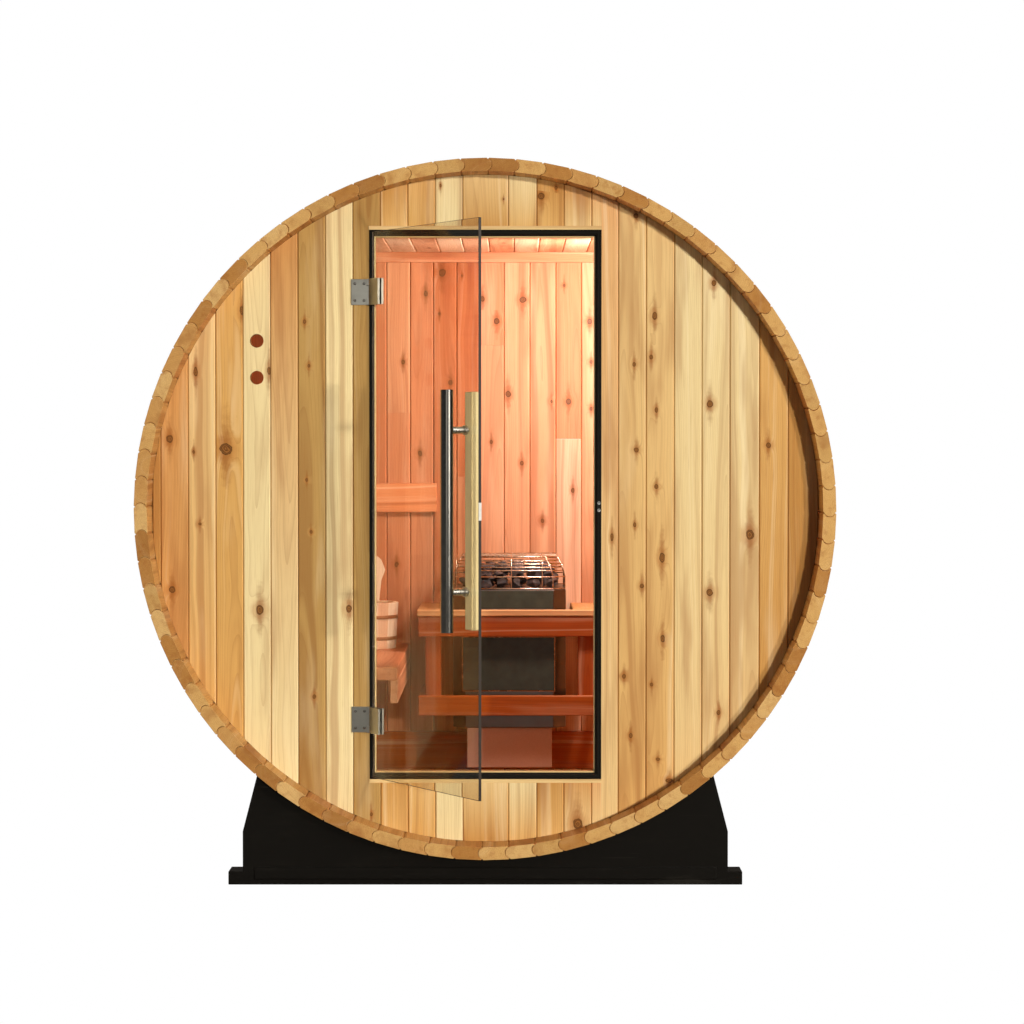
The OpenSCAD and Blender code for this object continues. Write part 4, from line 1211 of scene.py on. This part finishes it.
basket_low, basket_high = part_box("heater_basket")
WIRE_R, WIRE_INSET = 0.0016, 0.0025
BASKET_RINGS = [(0.0025, 0.0), (0.036, 0.0), (0.054, 0.004), (0.063, 0.007), (0.072, 0.011),
                (0.081, 0.016), (0.0925, 0.022)]    # height of each ring and how far it is drawn in
UPRIGHTS = [-0.086, -0.021, 0.068, 0.156]
front_y, rear_y = basket_low.y + WIRE_INSET, basket_high.y - WIRE_INSET
half_w = HEATER_W / 2 - WIRE_INSET


def basket_ring(inset):
    """The corners of one wire round the basket, drawn in at the front and at the sides."""
    half, nose = half_w - inset, front_y + inset
    return [(HEATER_X + x, y) for x, y in (
        (-half, rear_y), (-half, nose + HEATER_BEVEL), (-half + HEATER_BEVEL, nose),
        (half - HEATER_BEVEL, nose), (half, nose + HEATER_BEVEL), (half, rear_y))]


def part_way(a, b, share):
    return tuple(p + (q - p) * share for p, q in zip(a, b))


wire_lines = []
rings = [[(x, y, basket_low.z + rise) for x, y in basket_ring(inset)]
         for rise, inset in BASKET_RINGS]
for ring in rings:
    wire_lines.append(ring + ring[:1])
for corner in range(6):
    wire_lines.append([ring[corner] for ring in rings])
for x in UPRIGHTS:
    rise = [(x, ring[2][1], ring[2][2]) for ring in rings]
    wire_lines.append(rise + [(x, rear_y, rings[-1][0][2])])
for share in (0.25, 0.5, 0.75):
    for first, second in ((0, 1), (4, 5)):
        wire_lines.append([part_way(ring[first], ring[second], share) for ring in rings])
for share in (0.2, 0.4, 0.6, 0.8):
    wire_lines.append([part_way(rings[-1][first], rings[-1][second], share)
                       for first, second in ((1, 0), (4, 5))])
wire_points, wire_edges = [], []
for line in wire_lines:
    wire_edges += [(len(wire_points) + k, len(wire_points) + k + 1) for k in range(len(line) - 1)]
    wire_points += line
wire_net = bpy.data.meshes.new("wires")
wire_net.from_pydata(wire_points, wire_edges, [])


def wire_tree(material):
    tree, given, result = node_tree("Welded wires", [("Wire Radius", "Float"), ("Sides", "Int")])
    lines = add(tree, "GeometryNodeMeshToCurve", links={0: given.outputs["Geometry"]})
    circle = add(tree, "GeometryNodeCurvePrimitiveCircle", links={
        "Resolution": given.outputs["Sides"], "Radius": given.outputs["Wire Radius"]})
    tubes = add(tree, "GeometryNodeCurveToMesh", links={
        "Curve": lines.outputs[0], "Profile Curve": circle.outputs[0], "Fill Caps": True})
    smooth = add(tree, "GeometryNodeSetShadeSmooth", links={0: tubes.outputs[0]})
    return painted(tree, smooth, material, result)


wire_steel = steel("basket wire", colour("D8C2A6"), 0.24, brushed=(60.0, 60.0, 60.0), strength=0.1)
wires = laid_out("basket_wires", wire_net, wire_tree(wire_steel),
                 {"Wire Radius": WIRE_R, "Sides": 8})
piece_from("basket_wires", wires, None, "barrel", ["heater_basket"])



def strewn(room, place, places):
    """Where a stone lies in its row, a little out of true."""
    return room[0] + (room[1] - room[0]) * (place + random.uniform(-0.2, 0.2)) / (places - 1)


random.seed(23)
stones_low, stones_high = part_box("heater_stones")
rubble = bmesh.new()
ROCK_ROWS, ROCK_COLUMNS, ROCK_LAYERS = 6, 6, (0.018, 0.042, 0.058)
# Points in each stone's hull, and how far each layer is drawn in
ROCK_CORNERS, LAYER_INSET = 13, 0.012
for layer, z in enumerate(ROCK_LAYERS):
    for row in range(ROCK_ROWS):
        for column in range(ROCK_COLUMNS):
            size = random.uniform(0.021, 0.031)
            drawn_in = LAYER_INSET * layer
            room_x = (stones_low.x + size + drawn_in, stones_high.x - size - drawn_in)
            room_y = (stones_low.y + size + drawn_in, stones_high.y - size)
            x = strewn(room_x, column, ROCK_COLUMNS)
            y = strewn(room_y, row, ROCK_ROWS)
            y = min(max(y, room_y[0]), room_y[1])
            bevel = max(0.0, HEATER_BEVEL - (y - room_y[0]))
            x = min(max(x, room_x[0] + bevel), room_x[1] - bevel)
            rise = min(stones_low.z + z + random.uniform(-0.005, 0.005), stones_high.z - size * 0.8)
            squash = Matrix.Diagonal((random.uniform(0.75, 1.0), random.uniform(0.75, 1.0),
                                      random.uniform(0.55, 0.8)))
            spin = Matrix.Rotation(random.uniform(0, 6.28), 3, "Z")
            cloud = []
            for _ in range(ROCK_CORNERS):
                way = Vector((random.gauss(0, 1), random.gauss(0, 1),
                              random.gauss(0, 1))).normalized()
                cloud.append(rubble.verts.new(spin @ squash @ way * size * random.uniform(0.82, 1.0)
                                              + Vector((x, y, rise))))
            bmesh.ops.convex_hull(rubble, input=cloud)
            loose = [v for v in cloud if v.is_valid and not v.link_faces]
            bmesh.ops.delete(rubble, geom=loose, context="VERTS")
bmesh.ops.recalc_face_normals(rubble, faces=rubble.faces)
stone_mesh = bpy.data.meshes.new("heater_rocks")
rubble.to_mesh(stone_mesh)
rubble.free()
rock = Finish("olivine stone")
place = rock.place()
tone = rock.noise(place, 28.0, 4.0, 0.6)
grit = rock.noise(place, 520.0, 4.0, 0.7)
shown = rock.ramp(tone, [(0.32, colour("2E2A28")), (0.5, colour("4A4440")),
                         (0.62, colour("5E534C")), (0.75, colour("7E6E62"))])
shown = rock.blend(shown, colour("B9AB98"), rock.between(grit, 0.62, 0.8) * 0.5)
rock.surface(grit + tone * 2.0, 0.0012, 0.8, Base_Color=shown, Roughness=grit * 0.3 + 0.55)
piece_from("heater_rocks", stone_mesh, rock.material, "barrel", ["heater_stones"])

# ---- The guard --------------------------------------------------------------------
# A cedar fence round the heater: a flat cap and a deep rail under it, a lower rail, and a
# post in each front corner, screwed together from behind.

CAP_W, CAP_FRONT, RAIL_T = 0.082, 0.030, 0.020
cap_low, cap_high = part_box("guard_cap")
cap = Timber()
box_board(cap, cap_low, Vector((cap_high.x, cap_low.y + CAP_FRONT, cap_high.z)), "x", "rose",
          ease=0.003)
for x0 in (cap_low.x, cap_high.x - CAP_W):
    box_board(cap, Vector((x0, cap_low.y + CAP_FRONT, cap_low.z)),
              Vector((x0 + CAP_W, cap_high.y, cap_high.z)), "y", "pink", ease=0.003)
boards_piece("guard_cap_boards", cap, cabin_finish, ["guard_cap"])

guard_finish = cedar("oiled guard cedar", own_tone, late=colour("8A3E18"), knots=False, streaks=0.8,
                     rough=0.45)
rails_low, rails_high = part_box("guard_rails")
TOP_RAIL_H, LOW_RAIL_H = 0.058, 0.057
rails = Timber()
for z0, z1, tone in ((cap_low.z - TOP_RAIL_H, cap_low.z, "amber"),
                     (rails_low.z, rails_low.z + LOW_RAIL_H, "rust")):
    box_board(rails, Vector((rails_low.x, rails_low.y, z0)),
              Vector((rails_high.x, rails_low.y + RAIL_T, z1)), "x", tone, ease=0.003)
    for x0 in (rails_low.x, rails_high.x - RAIL_T):
        box_board(rails, Vector((x0, rails_low.y + RAIL_T, z0)),
                  Vector((x0 + RAIL_T, rails_high.y, z1)), "y", tone, ease=0.003)
boards_piece("guard_rail_boards", rails, guard_finish, ["guard_rails"])

posts_low, posts_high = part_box("guard_posts")
POST_W = 0.045
corner_posts = Timber()
for x0 in (posts_low.x, posts_high.x - POST_W):
    box_board(corner_posts, Vector((x0, posts_low.y, posts_low.z)),
              Vector((x0 + POST_W, posts_high.y, posts_high.z)), "z", "amber", ease=0.003)
boards_piece("guard_corner_posts", corner_posts, guard_finish, ["guard_posts"])

# ---- The bucket -------------------------------------------------------------------
# A small coopered bucket for the water: tapered staves round a bottom board, two hoops, and
# one tall stave with a round head to hold it by.

BUCKET_STAVES = 16
BUCKET_FOOT_R, BUCKET_RIM_R, BUCKET_H, BUCKET_T = 0.080, 0.088, 0.134, 0.010
# Half the neck, the head, and how far it runs down the staves
EAR_NECK, EAR_R, EAR_LAP = 0.028, 0.046, 0.050
bucket_low, bucket_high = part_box("bucket")
bucket_mid = Vector((-0.345, 0.784, bucket_low.z))
ear_middle = bucket_high.z - bucket_low.z - EAR_R
pail = Timber()
half_stave = math.pi / BUCKET_STAVES
for k in range(BUCKET_STAVES):
    a = 2 * half_stave * (k + 0.5)
    out, round_ = Vector((math.cos(a), math.sin(a), 0)), Vector((-math.sin(a), math.cos(a), 0))
    along = (Z * BUCKET_H + out * (BUCKET_RIM_R - BUCKET_FOOT_R)).normalized()
    wide = 2 * BUCKET_RIM_R * math.cos(half_stave) * math.tan(half_stave)
    corner = bucket_mid + out * (BUCKET_FOOT_R * math.cos(half_stave)) - round_ * (wide / 2)
    pail.board(corner, round_, along, -out, wide, BUCKET_H / along.z - 0.001, BUCKET_T,
               ["ivory", "blush", "ivory", "ivory"][k % 4], edge=0.0012, steps=2, ease=0.0012)


inner_foot = BUCKET_FOOT_R - BUCKET_T
BOTTOM_UP, BOTTOM_T = 0.008, 0.012


def bottom_reach(u):
    rise = math.sqrt(max(0.0, inner_foot ** 2 - (u - inner_foot) ** 2))
    return inner_foot - rise, inner_foot + rise


pail.board(bucket_mid + Vector((-inner_foot, -inner_foot, BOTTOM_UP)), X, Y, Z, 2 * inner_foot, 1.0,
           BOTTOM_T, "honey", reach=bottom_reach, cut=(True, True))


def ear_reach(u):
    from_middle = abs(u - EAR_R)
    rise = math.sqrt(max(0.0, EAR_R ** 2 - from_middle ** 2))
    foot = BUCKET_H - EAR_LAP if from_middle <= EAR_NECK else ear_middle - rise
    return foot, ear_middle + rise


EAR_Y = BUCKET_RIM_R - BUCKET_T - 0.004
pail.board(bucket_mid + Vector((-EAR_R, EAR_Y, 0)), X, Z, Y, 2 * EAR_R, 1.0, BUCKET_T, "ivory",
           reach=ear_reach, cut=(True, True))
pail_finish = cedar("bucket cedar", own_tone, streaks=0.7, knots=False, rough=0.5)
boards_piece("bucket_staves", pail, pail_finish, ["bucket"])
bands = []
for z in (0.030, 0.092):
    r = BUCKET_FOOT_R + (BUCKET_RIM_R - BUCKET_FOOT_R) * z / BUCKET_H
    bands.append(turned([(z - 0.005, r - 0.003), (z - 0.005, r + 0.0006), (z - 0.0035, r + 0.0013),
                         (z + 0.0035, r + 0.0015), (z + 0.005, r + 0.0009), (z + 0.005, r - 0.003)],
                        bucket_mid, "z", 48, hollow=True))
hoop_copper = steel("bucket hoop", colour("C08052"), 0.40, brushed=(30.0, 30.0, 900.0),
                    metallic=0.5)
piece_from("bucket_hoops", gathered("bucket_hoops", bands), hoop_copper, "barrel", [])

# ---- The room --------------------------------------------------------------------
# A pale studio floor and white surroundings. A low sun and a small lamp stand in front at the
# right, a weak sun behind at the left, and a warm lamp hangs under the ceiling. None of it is
# part of the sauna.

bpy.ops.mesh.primitive_plane_add(size=60, location=(0, 0, 0))
floor = bpy.context.object
floor.name = "studio_floor"
paper = Finish("studio floor")
matt = paper.node("BsdfPrincipled", {}, {"Base Color": colour("8C8C8C"), "Roughness": 0.9})
bright = paper.node("Emission", {}, {"Color": (1.0, 1.0, 1.0, 1.0), "Strength": 1.0})
seen = paper.node("LightPath", out="Is Camera Ray")
paper.node_out(paper.node("MixShader", {}, {0: seen, 1: matt, 2: bright}))
floor.data.materials.append(paper.material)

world = bpy.data.worlds.new("studio")
bpy.context.scene.world = world
world.use_nodes = True
sky = world.node_tree
sky.nodes.clear()

# The camera sees plain white and the sauna is lit by a low warm grey. Bright metal mirrors a dark
# studio, with a dim card in front of it and a narrow bright one further to the right.
way = add(sky, "ShaderNodeTexCoord").outputs["Generated"]
facing = add(sky, "ShaderNodeSeparateXYZ", links={0: way})
back_to_front = add(sky, "ShaderNodeMath", {"operation": "MULTIPLY"},
                    {0: facing.outputs["Y"], 1: -1.0})
around = add(sky, "ShaderNodeMath", {"operation": "ARCTAN2"},
             {0: facing.outputs["X"], 1: back_to_front.outputs[0]})
spread = add(sky, "ShaderNodeMapRange", links={0: around.outputs[0], "From Min": -math.pi,
                                               "From Max": math.pi})
# Share of a full turn from straight behind, and brightness
CARDS = [(0.0, 0.22), (0.38, 0.05), (0.455, 0.05), (0.475, 1.1), (0.515, 1.1), (0.535, 0.25),
         (0.59, 0.25), (0.600, 6.0), (0.652, 6.0), (0.662, 0.08), (0.80, 0.08), (1.0, 0.22)]
cards = add(sky, "ShaderNodeValToRGB", links={0: spread.outputs[0]})
while len(cards.color_ramp.elements) < len(CARDS):
    cards.color_ramp.elements.new(0.5)
for element, (share, level) in zip(cards.color_ramp.elements, CARDS):
    element.position, element.color = share, (level, level * 0.98, level * 0.93, 1.0)
rays = add(sky, "ShaderNodeLightPath")
last = add(sky, "ShaderNodeBackground", links={"Color": (1.0, 0.94, 0.84, 1.0), "Strength": 0.20})
for ray, tint in (("Is Glossy Ray", cards.outputs[0]), ("Is Camera Ray", (1.0, 1.0, 1.0, 1.0))):
    shown = add(sky, "ShaderNodeBackground", links={"Color": tint, "Strength": 1.0})
    last = add(sky, "ShaderNodeMixShader", links={0: rays.outputs[ray], 1: last.outputs[0],
                                                  2: shown.outputs[0]})
add(sky, "ShaderNodeOutputWorld", links={"Surface": last.outputs[0]})


def lamp(name, kind, place, aim, strength, tint, mirrored=False, **settings):
    """A lamp that the camera can't see, and bright metal only if it is to be mirrored."""
    light = bpy.data.lights.new(name, kind)
    light.energy, light.color = strength, tint
    for key, value in settings.items():
        setattr(light, key, value)
    holder = bpy.data.objects.new(name, light)
    bpy.context.scene.collection.objects.link(holder)
    holder.location = place
    holder.rotation_euler = (Vector(aim) - Vector(place)).to_track_quat("-Z", "Y").to_euler()
    holder.visible_camera, holder.visible_glossy = False, mirrored
    return holder


MIDDLE = (0, 0, 1.0)
key = lamp("key", "SUN", (2.7, -10.0, 1.75), MIDDLE, 2.02, (1.0, 0.98, 0.94),
           angle=math.radians(2.5))
lamp("side", "AREA", (2.94, -5.4, 1.1), (0.3, 0, 1.0), 135, (1.0, 0.97, 0.93), size=0.22)
lamp("behind", "SUN", (-7.0, 8.0, 6.0), MIDDLE, 1.5, (1.0, 0.97, 0.93), angle=math.radians(12))
lamp("cabin", "SPOT", (0.46, 0.24, 1.50), (0.12, 0.97, 1.22), 52.0, (1.0, 0.82, 0.80),
     mirrored=True, shadow_soft_size=0.10, spot_size=math.radians(150), spot_blend=0.45)

# The fittings in the cabin take none of the key lamp's light. A dark net that only the lamps
# can see keeps most of the cabin's lamp off the far left of the cabin.
INSIDE = ("ceiling", "back_", "bench", "heater", "basket", "guard", "bucket")
outside = bpy.data.collections.new("outside")
for piece in bpy.context.scene.collection.all_objects:
    if piece.type == "MESH" and not piece.name.startswith(INSIDE):
        outside.objects.link(piece)
key.light_linking.receiver_collection = outside
bpy.ops.mesh.primitive_plane_add(size=1, location=(-0.46, 0.51, 1.43), rotation=(0, math.pi / 2, 0))
flag = bpy.context.object
flag.name, flag.scale = "cabin_flag", (0.58, 0.90, 1.0)
flag.visible_camera = flag.visible_transmission = flag.visible_glossy = False
net = Finish("dark net")
net.node_out(net.node("BsdfTransparent", {}, {"Color": (0.22, 0.22, 0.22, 1.0)}))
flag.data.materials.append(net.material)

CAMERA_AT, CAMERA_WAY = (0.0755, -7.785, 1.1695), (-0.00068, 1.0, -0.0244)
camera_data = bpy.data.cameras.new("camera")
camera_data.lens, camera_data.sensor_width = 103.8, 36.0
camera = bpy.data.objects.new("camera", camera_data)
bpy.context.scene.collection.objects.link(camera)
camera.location = CAMERA_AT
camera.rotation_euler = Vector(CAMERA_WAY).to_track_quat("-Z", "Y").to_euler()
bpy.context.scene.camera = camera
bpy.context.scene.view_settings.view_transform = "Standard"
